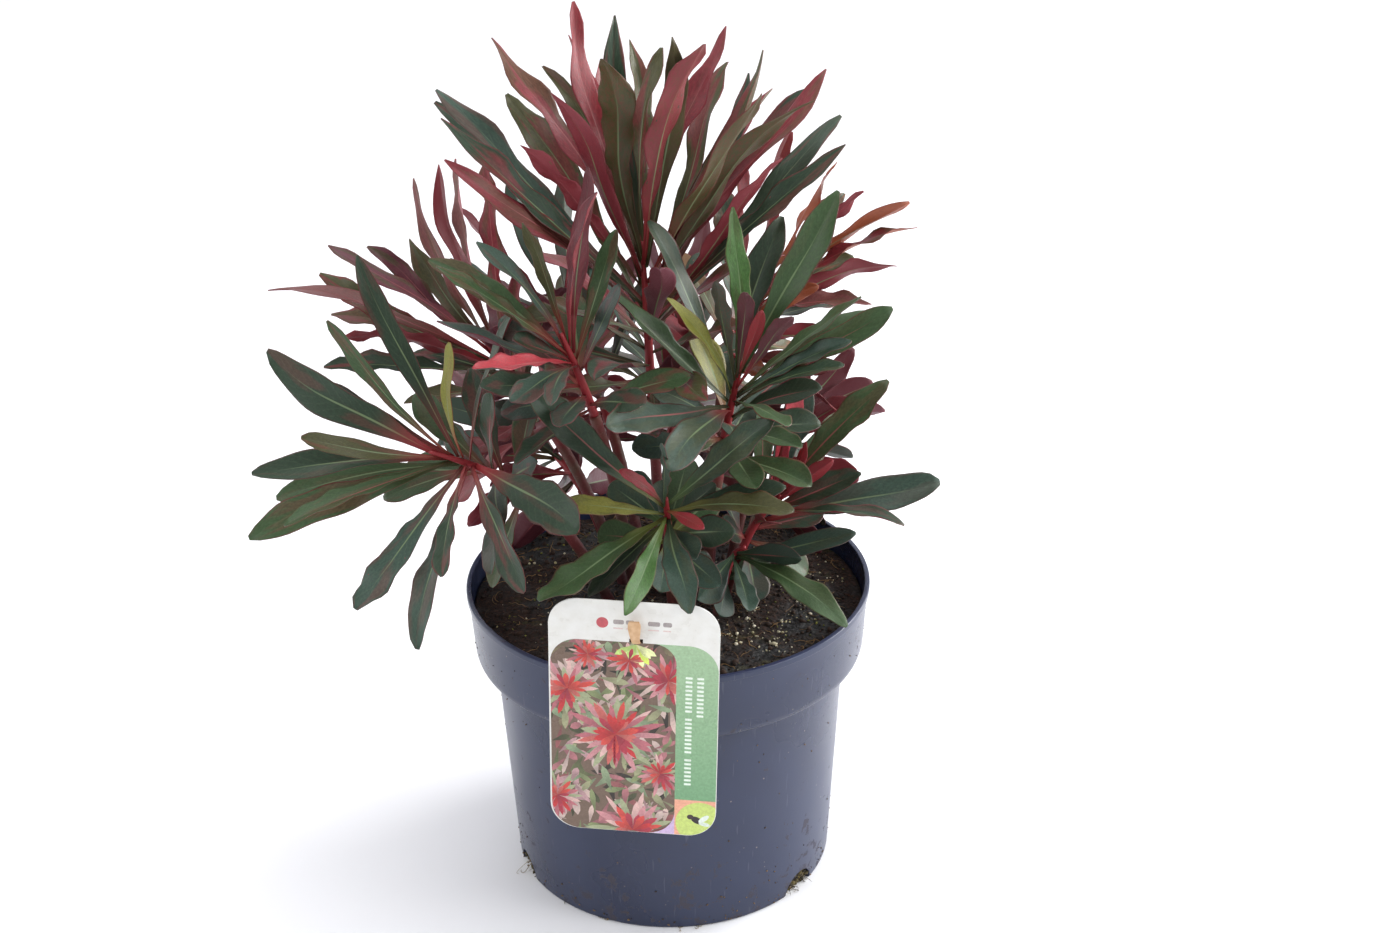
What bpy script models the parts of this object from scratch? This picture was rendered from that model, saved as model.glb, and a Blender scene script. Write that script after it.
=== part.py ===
"""Potted euphorbia: a nursery pot full of soil, thirteen leafy shoots, a picture label and its stake.

Metres, +Z up. The origin is the centre of the pot's underside, where it stands; the front is -Y.
Each shoot is a bare stem set in the soil and, on top of it, a leafy tip whose leaves grow out of the axis.
"""

import math

import bmesh
import bpy
from mathutils import Matrix, Quaternion, Vector
from mathutils.bvhtree import BVHTree

MM = 0.001

# Clearances
GAP = 0.3 * MM  # between pieces that touch
LEAF_CLEARANCE = 0.8 * MM  # air kept round a leaf

# Pot
POT_HEIGHT = 147 * MM
POT_BASE_RADIUS = 76.5 * MM
POT_WALL_TOP_RADIUS = 83.1 * MM  # just under the collar
COLLAR_HEIGHT = 35 * MM
COLLAR_RADIUS = 92.2 * MM
RIM_RADIUS = 95 * MM
RIM_HEIGHT = 3 * MM
RIM_STAND_OUT = 0.9 * MM
POT_WALL = 1.5 * MM
POT_FLOOR = 2 * MM
POT_STEPS = 48
NOTCH_RADIUS = 10 * MM  # half-round drain notches where the wall meets the floor
NOTCH_DEPTH = 9 * MM
NOTCH_BEARINGS = (-39, -159, 81)
DRAIN_HOLES = 6
DRAIN_HOLE_RADIUS = 4 * MM
DRAIN_CIRCLE_RADIUS = 46 * MM

# Soil
SOIL_BELOW_RIM = 10 * MM
SOIL_LUMP = 1.2 * MM

# Stems
STEM_RADIUS = 3 * MM
STEM_SIDES = 8
STEM_DEPTH = 14 * MM  # how far a stem stands in the soil
STEM_POINT_EVERY = 12 * MM

# Leafy tips
AXIS_RADIUS = 2.5 * MM
AXIS_TIP_RADIUS = 1.3 * MM
AXIS_SIDES = 5
ROW_HEIGHT = 1.8 * MM  # a leaf grows from a row of the axis, and up to two near the tip
ROWS_PER_SHAPING_LEAF = 0.62
BUD_LENGTH = 4 * MM
CORE_SHARE = 0.6

# Leaves
LEAF_THICKNESS = 0.9 * MM
LEAF_FOLD = 0.2  # rise of the margins over the midrib, per half width
LEAF_STATIONS = (0.1, 0.45, 0.8)
TEST_STATIONS = (0.0, 0.05, 0.1, 0.2, 0.32, 0.45, 0.57, 0.68, 0.8)
PETIOLE_SHARE = 0.16  # width at the base, as a share of the full width
FILL_LEAF_WIDTH = 13 * MM
YOUNG_OPENING = 16  # angle of a filling leaf from its shoot's heading, in degrees
OLD_OPENING = 90
LEAF_BEND = 0.045  # how far a leaf arches, as a share of its length
LEAF_ROLL = 24  # most that a leaf is rolled about its midrib, in degrees
LEAF_SHOW = 0.45  # how strongly a leaf turns one of its faces to the front

# Label
CARD_WIDTH = 74 * MM
CARD_HEIGHT = 118 * MM
CARD_THICKNESS = 0.5 * MM
CARD_CORNER_RADIUS = 13 * MM
CARD_ROLL = 1.8
LABEL_YAW = -7
LABEL_X = -14.3 * MM
LABEL_OFF_RIM = 3.8 * MM
SLOT_OVER_RIM = 21.5 * MM
SLOT_BELOW_CARD_TOP = 20 * MM
SLOT_RIGHT_OF_CARD_MIDDLE = 2.2 * MM
SLOT_WIDTH = 6 * MM
SLOT_HEIGHT = 3.6 * MM
STAKE_THICKNESS = 1 * MM
STAKE_DEPTH = 58 * MM
STAKE_TOP_OFF_WALL = 0.6 * MM  # inwards of the wall under the collar, where the stake passes the rim
STAKE_FOOT_OFF_WALL = 11.6 * MM

# Directions are given as seen from the front and somewhat above: a clock bearing in degrees,
# clockwise from straight up, and a lean in degrees out of that view's plane, towards the viewer.
VIEW_TILT = math.radians(26)
VIEW_RIGHT = Vector((1, 0, 0))
VIEW_UP = Vector((0, math.sin(VIEW_TILT), math.cos(VIEW_TILT)))
VIEW_TOWARDS = Vector((0, -math.cos(VIEW_TILT), math.sin(VIEW_TILT)))
GOLDEN_ANGLE = math.radians(137.5)

# Each shoot: foot (x, y), tip (x, y, height over the soil), the tip's heading (clock, lean), number of
# leaf rows, length of its filling leaves, and the leaves that shape it. A leaf is given by where its
# point lies from the shoot's tip: clock, lean and reach, and by its width. All lengths are in mm.
SHOOTS = {
    "top": dict(
        foot=(-3, 4), tip=(-8, 0, 177), heading=(358, 24), rows=38, fill=70,
        leaves=(
            (342, 8, 107, 13), (339, -4, 100, 12), (334, -14, 92, 13), (324, 14, 106, 14),
            (319, -12, 93, 15), (309, 6, 110, 14), (303, -6, 113, 12), (301, 18, 98, 13),
            (352, 22, 93, 12), (348, -22, 88, 11), (359, -8, 92, 13), (6, 4, 85, 11),
            (22, 6, 100, 12), (23, -14, 92, 13), (18, 38, 78, 16), (9, 46, 70, 14),
            (350, 40, 71, 17), (37, 8, 98, 13), (35, -14, 92, 12), (44, -4, 104, 13),
            (41, -24, 96, 12), (50, 8, 109, 13), (53, 26, 90, 12), (60, -8, 108, 12),
            (65, 12, 96, 13), (42, 42, 71, 16), (71, 20, 70, 13), (292, 26, 88, 14),
            (330, 44, 64, 13), (306, 40, 60, 12),
        ),
    ),
    "left_mid": dict(
        foot=(-15, -9), tip=(-43, -45, 153), heading=(338, 34), rows=22, fill=46,
        leaves=(
            (302, 10, 63, 12), (318, 24, 50, 10), (343, 18, 48, 8), (12, 16, 69, 12),
            (16, 34, 58, 11), (298, 26, 56, 11), (243, 58, 38, 12), (186, 52, 32, 11),
            (276, -4, 54, 11), (30, 4, 50, 10), (214, 34, 36, 11),
        ),
    ),
    "left_back": dict(
        foot=(-22, 13), tip=(-83, 30, 120), heading=(322, 18), rows=26, fill=56,
        leaves=(
            (285, 8, 99, 14), (292, -6, 83, 13), (302, 14, 80, 12), (312, 4, 68, 9),
            (281, -14, 74, 13), (262, 4, 74, 14), (339, 6, 80, 12), (346, 16, 80, 14),
            (353, 0, 86, 12), (4, 12, 88, 12), (326, -14, 60, 12), (272, 24, 60, 12),
        ),
    ),
    "left_low": dict(
        foot=(-27, -10), tip=(-102, -50, 101), heading=(286, 36), rows=28, fill=46,
        leaves=(
            (265, 10, 75, 14), (276, 34, 50, 9), (246, 6, 85, 17), (243, 26, 65, 12),
            (302, 4, 82, 18), (325, 20, 69, 9), (343, 6, 90, 12), (15, 24, 48, 8),
            (33, 2, 73, 10), (300, -16, 68, 14), (207, 8, 74, 15), (185, 12, 84, 13),
            (172, 30, 54, 12), (118, 26, 73, 19), (144, 18, 73, 16), (257, -14, 72, 13),
        ),
    ),
    "right": dict(
        foot=(17, -7), tip=(34, -30, 132), heading=(14, 36), rows=28, fill=44,
        leaves=(
            (358, 18, 65, 10), (18, 4, 66, 15), (32, 16, 82, 16), (65, 22, 57, 11),
            (73, 4, 70, 14), (68, -12, 60, 13), (80, 18, 48, 10), (50, 60, 26, 9),
            (328, 10, 72, 16), (311, 30, 42, 9), (299, 16, 63, 15), (341, 36, 35, 9),
            (155, 56, 34, 12), (245, 36, 66, 17), (215, 40, 56, 16), (96, 26, 45, 11),
            (4, 50, 26, 7), (24, 48, 22, 6),
        ),
    ),
    "front": dict(
        foot=(2, -27), tip=(0, -60, 81), heading=(0, 64), rows=20, fill=32,
        leaves=(
            (309, 14, 74, 15), (42, 20, 58, 15), (4, 62, 24, 6), (268, 14, 45, 11),
            (96, 16, 55, 14), (233, 20, 69, 17), (199, 24, 55, 11), (170, 26, 50, 13),
            (85, 2, 52, 13), (220, 4, 54, 13), (300, 50, 22, 6), (130, 50, 20, 6),
        ),
    ),
    "right_low": dict(
        foot=(27, -2), tip=(53, 0, 51), heading=(48, 32), rows=16, fill=34,
        leaves=(
            (43, 12, 72, 16), (9, 18, 61, 12), (5, 40, 28, 7), (25, 34, 27, 7),
            (55, 40, 28, 7), (75, 20, 38, 12), (87, 6, 74, 19), (88, 24, 57, 11),
            (350, 22, 42, 11), (16, 0, 54, 14), (40, -14, 52, 14),
        ),
    ),
    "lowest": dict(
        foot=(23, -19), tip=(36, -11, 30), heading=(86, 46), rows=10, fill=24,
        leaves=(
            (116, 30, 56, 14), (226, 36, 32, 16), (100, 44, 25, 11), (180, 44, 28, 11),
            (85, 14, 51, 14),
        ),
    ),
    "back_right": dict(
        foot=(19, 14), tip=(50, 58, 133), heading=(38, 2), rows=28, fill=58,
        leaves=(
            (68, 8, 75, 13), (55, 2, 77, 13), (48, 14, 62, 12), (81, 12, 60, 12),
            (62, -8, 44, 13), (30, 4, 66, 13), (8, 8, 72, 12), (350, 2, 70, 12),
            (96, 4, 50, 13), (38, -20, 60, 13), (336, -6, 56, 13),
        ),
    ),
    "back_left": dict(
        foot=(-11, 22), tip=(-48, 72, 113), heading=(332, -8), rows=28, fill=66,
        leaves=((318, 4, 72, 13), (342, 8, 74, 13), (2, 2, 72, 13), (300, -6, 62, 13)),
    ),
    "back": dict(
        foot=(3, 27), tip=(4, 84, 93), heading=(2, -24), rows=28, fill=70,
        leaves=((16, -10, 66, 13), (344, -14, 66, 13)),
    ),
    "back_low_right": dict(
        foot=(29, 17), tip=(64, 66, 60), heading=(56, -20), rows=22, fill=50,
        leaves=((66, 0, 42, 13), (84, -12, 46, 13), (44, 2, 46, 13)),
    ),
    "back_low_left": dict(
        foot=(-26, 29), tip=(-70, 76, 53), heading=(306, -18), rows=22, fill=56,
        leaves=((288, -6, 46, 14), (310, -20, 52, 14), (266, -14, 44, 14)),
    ),
}


def material(name, colour, roughness):
    """A plain Principled material, with an sRGB colour of 0 to 255 a channel."""
    made = bpy.data.materials.new(name)
    made.use_nodes = True
    shader = made.node_tree.nodes["Principled BSDF"]
    linear = [(channel / 255) ** 2.2 for channel in colour]
    shader.inputs["Base Color"].default_value = (*linear, 1)
    shader.inputs["Roughness"].default_value = roughness
    made.diffuse_color = (*linear, 1)
    return made


def add_object(name, mesh_builder, look=None):
    """An object made from a bmesh, smooth except at its sharp edges."""
    bmesh.ops.recalc_face_normals(mesh_builder, faces=mesh_builder.faces)
    mesh = bpy.data.meshes.new(name)
    mesh_builder.to_mesh(mesh)
    mesh_builder.free()
    mesh.shade_smooth()
    mesh.set_sharp_from_angle(angle=math.radians(40))
    made = bpy.data.objects.new(name, mesh)
    bpy.context.scene.collection.objects.link(made)
    if look:
        mesh.materials.append(look)
    return made


def cut(body, cutter):
    """Takes the cutter's shape out of the body. The cutter stays in the scene as a wire."""
    cutter.hide_render = True
    cutter.display_type = "WIRE"
    modifier = body.modifiers.new(cutter.name, "BOOLEAN")
    modifier.operation = "DIFFERENCE"
    modifier.solver = "EXACT"
    modifier.object = cutter


def skin(mesh_builder, first, second):
    """Faces between two rings of as many vertices, or between a ring and a single vertex."""
    count = max(len(first), len(second))
    for i in range(count):
        after = (i + 1) % count
        if len(second) == 1:
            mesh_builder.faces.new((first[i], first[after], second[0]))
        elif len(first) == 1:
            mesh_builder.faces.new((first[0], second[after], second[i]))
        else:
            mesh_builder.faces.new((first[i], first[after], second[after], second[i]))


def turned(profile, steps):
    """A solid of revolution about Z. The profile of (radius, height) starts and ends on the axis."""
    mesh_builder = bmesh.new()
    rings = []
    for radius, height in profile:
        if radius == 0:
            rings.append([mesh_builder.verts.new((0, 0, height))])
            continue
        turns = [2 * math.pi * i / steps for i in range(steps)]
        points = [(radius * math.cos(turn), radius * math.sin(turn), height) for turn in turns]
        rings.append([mesh_builder.verts.new(point) for point in points])
    for first, second in zip(rings, rings[1:]):
        skin(mesh_builder, first, second)
    return mesh_builder


def cylinder(mesh_builder, start, end, radius, sides):
    """Adds a closed cylinder between two points."""
    along = end - start
    turn = along.to_track_quat("Z", "Y").to_matrix().to_4x4()
    bmesh.ops.create_cone(
        mesh_builder, cap_ends=True, segments=sides, radius1=radius, radius2=radius,
        depth=along.length, matrix=Matrix.Translation((start + end) / 2) @ turn,
    )


# ---------------------------------------------------------------- pot and soil

SOIL_TOP = POT_HEIGHT - SOIL_BELOW_RIM
COLLAR_FOOT = POT_HEIGHT - COLLAR_HEIGHT
SHOULDER_RISE = 4 * MM


def tube(mesh_builder, point_rings):
    """A closed tube through rings of points."""
    rings = [[mesh_builder.verts.new(point) for point in ring] for ring in point_rings]
    for first, second in zip(rings, rings[1:]):
        skin(mesh_builder, first, second)
    mesh_builder.faces.new(rings[0])
    mesh_builder.faces.new(rings[-1])


def pot_inside():
    """The pot's inner surface from the floor's corner up to the rim, as (radius, height)."""
    return [
        (POT_BASE_RADIUS - POT_WALL, POT_FLOOR),
        (POT_WALL_TOP_RADIUS - POT_WALL, COLLAR_FOOT + POT_WALL),
        (COLLAR_RADIUS - 2 * POT_WALL, COLLAR_FOOT + SHOULDER_RISE + POT_WALL / 2),
        (COLLAR_RADIUS - POT_WALL, COLLAR_FOOT + SHOULDER_RISE + 2 * POT_WALL),
        (RIM_RADIUS - RIM_STAND_OUT - POT_WALL, POT_HEIGHT - RIM_HEIGHT),
        (RIM_RADIUS - RIM_STAND_OUT - POT_WALL + 0.3 * MM, POT_HEIGHT),
    ]


def make_pot():
    outside = [
        (0, 0),
        (POT_BASE_RADIUS - 1.5 * MM, 0),
        (POT_BASE_RADIUS, 1.5 * MM),
        (POT_WALL_TOP_RADIUS, COLLAR_FOOT),
        ((POT_WALL_TOP_RADIUS + 2 * COLLAR_RADIUS) / 3, COLLAR_FOOT + SHOULDER_RISE / 2),
        (COLLAR_RADIUS, COLLAR_FOOT + SHOULDER_RISE),
        (RIM_RADIUS - RIM_STAND_OUT, POT_HEIGHT - RIM_HEIGHT),
        (RIM_RADIUS, POT_HEIGHT - RIM_HEIGHT + RIM_STAND_OUT / 2),
        (RIM_RADIUS, POT_HEIGHT - 0.4 * MM),
        (RIM_RADIUS - 0.4 * MM, POT_HEIGHT),
    ]
    inside = list(reversed(pot_inside()))
    pot = add_object(
        "pot", turned(outside + inside + [(0, POT_FLOOR)], POT_STEPS),
        material("slate_plastic", (72, 76, 98), 0.4),
    )
    drains = bmesh.new()
    for bearing in NOTCH_BEARINGS:
        outward = Vector((math.cos(math.radians(bearing)), math.sin(math.radians(bearing)), 0))
        start = outward * (POT_BASE_RADIUS - NOTCH_DEPTH)
        cylinder(drains, start, outward * (POT_WALL_TOP_RADIUS + NOTCH_DEPTH), NOTCH_RADIUS, 20)
    for i in range(DRAIN_HOLES):
        turn = 2 * math.pi * i / DRAIN_HOLES
        centre = Vector((math.cos(turn), math.sin(turn), 0)) * DRAIN_CIRCLE_RADIUS
        under = centre - Vector((0, 0, POT_FLOOR))
        cylinder(drains, under, centre + Vector((0, 0, 2 * POT_FLOOR)), DRAIN_HOLE_RADIUS, 12)
    cut(pot, add_object("pot_drain_cutter", drains))
    return pot


def soil_height(x, y):
    """The lumpy top of the soil."""
    waves = math.sin(x * 95 + 1.3) * math.cos(y * 110 - 0.4) + 0.6 * math.sin(x * 210 - y * 160)
    return SOIL_TOP + SOIL_LUMP * waves / 1.6


def make_soil(shoots, label_frame):
    wall = [(radius - GAP, height) for radius, height in pot_inside()]
    top_radius = wall[3][0] + (wall[4][0] - wall[3][0]) * 0.5
    profile = [(0, POT_FLOOR + GAP), (wall[0][0], POT_FLOOR + GAP)] + wall[1:4]
    profile.append((top_radius, SOIL_TOP - 1.5 * SOIL_LUMP))
    profile += [(top_radius * share, SOIL_TOP) for share in (0.93, 0.75, 0.5, 0.25)]
    mesh_builder = turned(profile + [(0, SOIL_TOP)], POT_STEPS)
    for vert in mesh_builder.verts:
        if abs(vert.co.z - SOIL_TOP) < 0.001 * MM:
            vert.co.z = soil_height(vert.co.x, vert.co.y)
    soil = add_object("soil", mesh_builder, material("peat", (34, 24, 18), 0.95))
    sockets = bmesh.new()
    for shoot in shoots:
        tube(sockets, shoot.stem_rings(2 * GAP)[:3])
    cut(soil, add_object("stem_socket_cutter", sockets))
    stake_cutter = add_object("stake_socket_cutter", stake_mesh(GAP))
    stake_cutter.parent = label_frame
    cut(soil, stake_cutter)
    return soil


# ---------------------------------------------------------------- label

def label_origin():
    """The middle of the label's slot, in front of the rim."""
    front = math.sqrt((RIM_RADIUS + LABEL_OFF_RIM) ** 2 - LABEL_X**2)
    return Vector((LABEL_X, -front, POT_HEIGHT + SLOT_OVER_RIM))


def stake_mesh(margin=0.0):
    """The stake: a flat strip from the soil over the rim and through the slot. Its own frame is the slot."""
    rim = -SLOT_OVER_RIM
    back = LABEL_OFF_RIM + POT_WALL
    wall = RIM_RADIUS + LABEL_OFF_RIM - (POT_WALL_TOP_RADIUS - POT_WALL)
    stations = (  # distance behind the slot, height over it, width
        (wall + STAKE_FOOT_OFF_WALL + 1.5 * MM, rim - STAKE_DEPTH - 10 * MM, 2 * MM),
        (wall + STAKE_FOOT_OFF_WALL, rim - STAKE_DEPTH, 6.5 * MM),
        (wall + STAKE_TOP_OFF_WALL, rim - 8 * MM, 6.5 * MM),
        (back + 8.5 * MM, rim + 4 * MM, 6.5 * MM),
        (7.6 * MM, rim + 15 * MM, 6 * MM),
        (2.2 * MM, -2.2 * MM, 3.8 * MM),
        (-2.2 * MM, 2.2 * MM, 3.8 * MM),
        (-4.2 * MM, 7.2 * MM, 5 * MM),
        (-4.9 * MM, 12.8 * MM, 6.2 * MM),
    )
    path = [Vector((0, behind, over)) for behind, over, _ in stations]
    mesh_builder = bmesh.new()
    rings = []
    for i, (_, _, width) in enumerate(stations):
        along = (path[min(i + 1, len(path) - 1)] - path[max(i - 1, 0)]).normalized()
        through = along.cross(VIEW_RIGHT) * (STAKE_THICKNESS / 2 + margin)
        side = VIEW_RIGHT * (width / 2 + margin)
        corners = (-side - through, side - through, side + through, -side + through)
        end_margin = along * margin * ((i == len(path) - 1) - (i == 0))
        rings.append([mesh_builder.verts.new(path[i] + end_margin + corner) for corner in corners])
    for first, second in zip(rings, rings[1:]):
        skin(mesh_builder, first, second)
    mesh_builder.faces.new(rings[0])
    mesh_builder.faces.new(rings[-1])
    return mesh_builder


def make_label():
    """The card and the stake that holds it, both under one empty at the card's slot."""
    frame = bpy.data.objects.new("label_frame", None)
    bpy.context.scene.collection.objects.link(frame)
    frame.location = label_origin()
    frame.rotation_euler = (0, 0, math.radians(LABEL_YAW))
    mesh_builder = bmesh.new()
    outline = []
    for quarter in range(4):
        turns = [math.radians(90 * quarter + 90 * i / 6) for i in range(7)]
        middle = (quarter + 0.5) * math.pi / 2
        across = math.copysign(CARD_WIDTH / 2 - CARD_CORNER_RADIUS, math.cos(middle))
        upward = math.copysign(CARD_HEIGHT / 2 - CARD_CORNER_RADIUS, math.sin(middle))
        for turn in turns:
            x = across + CARD_CORNER_RADIUS * math.cos(turn)
            z = upward + CARD_CORNER_RADIUS * math.sin(turn)
            outline.append(mesh_builder.verts.new((x, CARD_THICKNESS / 2, z)))
    face = mesh_builder.faces.new(outline)
    front = bmesh.ops.extrude_face_region(mesh_builder, geom=[face])["geom"]
    moved = [item for item in front if isinstance(item, bmesh.types.BMVert)]
    bmesh.ops.translate(mesh_builder, verts=moved, vec=(0, -CARD_THICKNESS, 0))
    card = add_object("label_card", mesh_builder, material("printed_card", (240, 238, 230), 0.35))
    card.parent = frame
    card.location = (-SLOT_RIGHT_OF_CARD_MIDDLE, 0, SLOT_BELOW_CARD_TOP - CARD_HEIGHT / 2)
    card.rotation_euler = (0, math.radians(CARD_ROLL), 0)
    slot = bmesh.new()
    bmesh.ops.create_cube(slot, size=1)
    bmesh.ops.scale(slot, verts=slot.verts, vec=(SLOT_WIDTH, 8 * CARD_THICKNESS, SLOT_HEIGHT))
    cutter = add_object("label_slot_cutter", slot)
    cutter.parent = frame
    cut(card, cutter)
    stake = add_object("label_stake", stake_mesh(), material("tan_plastic", (205, 170, 130), 0.5))
    stake.parent = frame
    return frame


# ---------------------------------------------------------------- shoots

def uneven(index, step):
    """A value from -1 to 1 that looks irregular from one leaf to the next."""
    return 2 * (index * step % 1) - 1


def heading(clock, lean):
    """The unit direction of a clock bearing and a lean."""
    turn = math.radians(clock)
    rise = math.radians(lean)
    across = VIEW_RIGHT * math.sin(turn) + VIEW_UP * math.cos(turn)
    return across * math.cos(rise) + VIEW_TOWARDS * math.sin(rise)


def shoot_path(foot, tip, direction):
    """Points every millimetre or so along a shoot, from the soil's surface to its tip."""
    reach = (tip - foot).length
    lean_out = Vector((tip.x - foot.x, tip.y - foot.y, 0)) * 0.25
    first = foot + Vector((0, 0, reach * 0.42)) + lean_out
    second = tip - direction * reach * 0.36
    steps = max(8, int(reach / MM))
    points = []
    for i in range(steps + 1):
        t = i / steps
        u = 1 - t
        points.append(foot * u**3 + first * 3 * u * u * t + second * 3 * u * t * t + tip * t**3)
    return points


def point_below_tip(path, distance):
    """The point this far down the path from its tip, and the path's direction there."""
    for after, before in zip(reversed(path), list(reversed(path))[1:]):
        step = (after - before).length
        if distance <= step:
            return after.lerp(before, distance / step), (after - before).normalized()
        distance -= step
    return path[0].copy(), (path[1] - path[0]).normalized()


def ring_points(centre, direction, side, radius, sides, shift):
    """A ring of points about a path, counted anticlockwise seen from the tip."""
    side = (side - direction * side.dot(direction)).normalized()
    other = direction.cross(side)
    turns = [2 * math.pi * (i + shift) / sides for i in range(sides)]
    return [centre + (side * math.cos(turn) + other * math.sin(turn)) * radius for turn in turns]


def tree_of(rings, tip=None):
    """A search tree of the closed skin through these rings."""
    count = len(rings[0])
    points = [point for ring in rings for point in ring]
    last = len(points) - count
    faces = [list(range(count))]
    for first in range(0, last, count):
        for i in range(count):
            a, b = first + i, first + (i + 1) % count
            faces.append([a, b, b + count, a + count])
    if tip is None:
        faces.append(list(range(last, last + count)))
    else:
        faces += [[last + i, last + (i + 1) % count, len(points)] for i in range(count)]
        points.append(tip)
    return BVHTree.FromPolygons(points, faces), bounds_of(points)


def bounds_of(points):
    low = Vector([min(point[i] for point in points) for i in range(3)])
    high = Vector([max(point[i] for point in points) for i in range(3)])
    return low, high


class Space:
    """What is already in place, so that a new leaf can be kept clear of it."""

    def __init__(self):
        self.entries = []

    def add(self, tree, box, owner=None, own_tree=None):
        """Takes in a closed skin. Its owner's own leaves may be tested against a slimmer one."""
        self.entries.append((tree, box, owner, own_tree or tree))

    def add_object(self, made):
        graph = bpy.context.evaluated_depsgraph_get()
        mesh_builder = bmesh.new()
        mesh_builder.from_object(made, graph)
        mesh_builder.transform(made.matrix_world)
        points = [vert.co.copy() for vert in mesh_builder.verts]
        self.add(BVHTree.FromBMesh(mesh_builder), bounds_of(points))
        mesh_builder.free()

    def is_clear(self, whole, blade, box, owner):
        """Whether a leaf misses everything: its blade its own shoot, and the whole of it the rest."""
        for tree, other_box, other_owner, own_tree in self.entries:
            if any(box[0][i] > other_box[1][i] or box[1][i] < other_box[0][i] for i in range(3)):
                continue
            if blade.overlap(own_tree) if other_owner == owner else whole.overlap(tree):
                return False
        return True


def leaf_rings(base, tip, upward, width, bend, margin=0.0, stations=LEAF_STATIONS):
    """Four points across the leaf at each station: under the midrib, right, over the midrib, left."""
    along = (tip - base).normalized()
    over = (upward - along * upward.dot(along)).normalized()
    right = over.cross(along)
    length = (tip - base).length
    rings = []
    for t in stations:
        middle = base.lerp(tip, t) + over * (bend * length * 4 * t * (1 - t))
        half = half_width(t, width) + margin
        thick = LEAF_THICKNESS / 2 + margin
        raised = over * (LEAF_FOLD * half)
        rings.append(
            [
                middle - over * thick,
                middle + right * half + raised,
                middle + over * thick,
                middle - right * half + raised,
            ]
        )
    return rings


def half_width(t, width):
    """Half the width of a spoon-shaped leaf at a share t of its length."""
    if t < 0.68:
        share = t / 0.68
        smooth = share * share * (3 - 2 * share)
        return width / 2 * (PETIOLE_SHARE + (1 - PETIOLE_SHARE) * smooth)
    return width / 2 * math.sqrt(max(0.0, 1 - ((t - 0.68) / 0.34) ** 2))


def diamond(rings, row, column):
    """The corners of a diamond of the axis, seen from outside: lowest, right, highest and left."""
    right = (column + row % 2) % AXIS_SIDES
    left = (right - 1) % AXIS_SIDES
    return [rings[row + 2][column], rings[row + 1][right], rings[row][column], rings[row + 1][left]]


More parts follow.
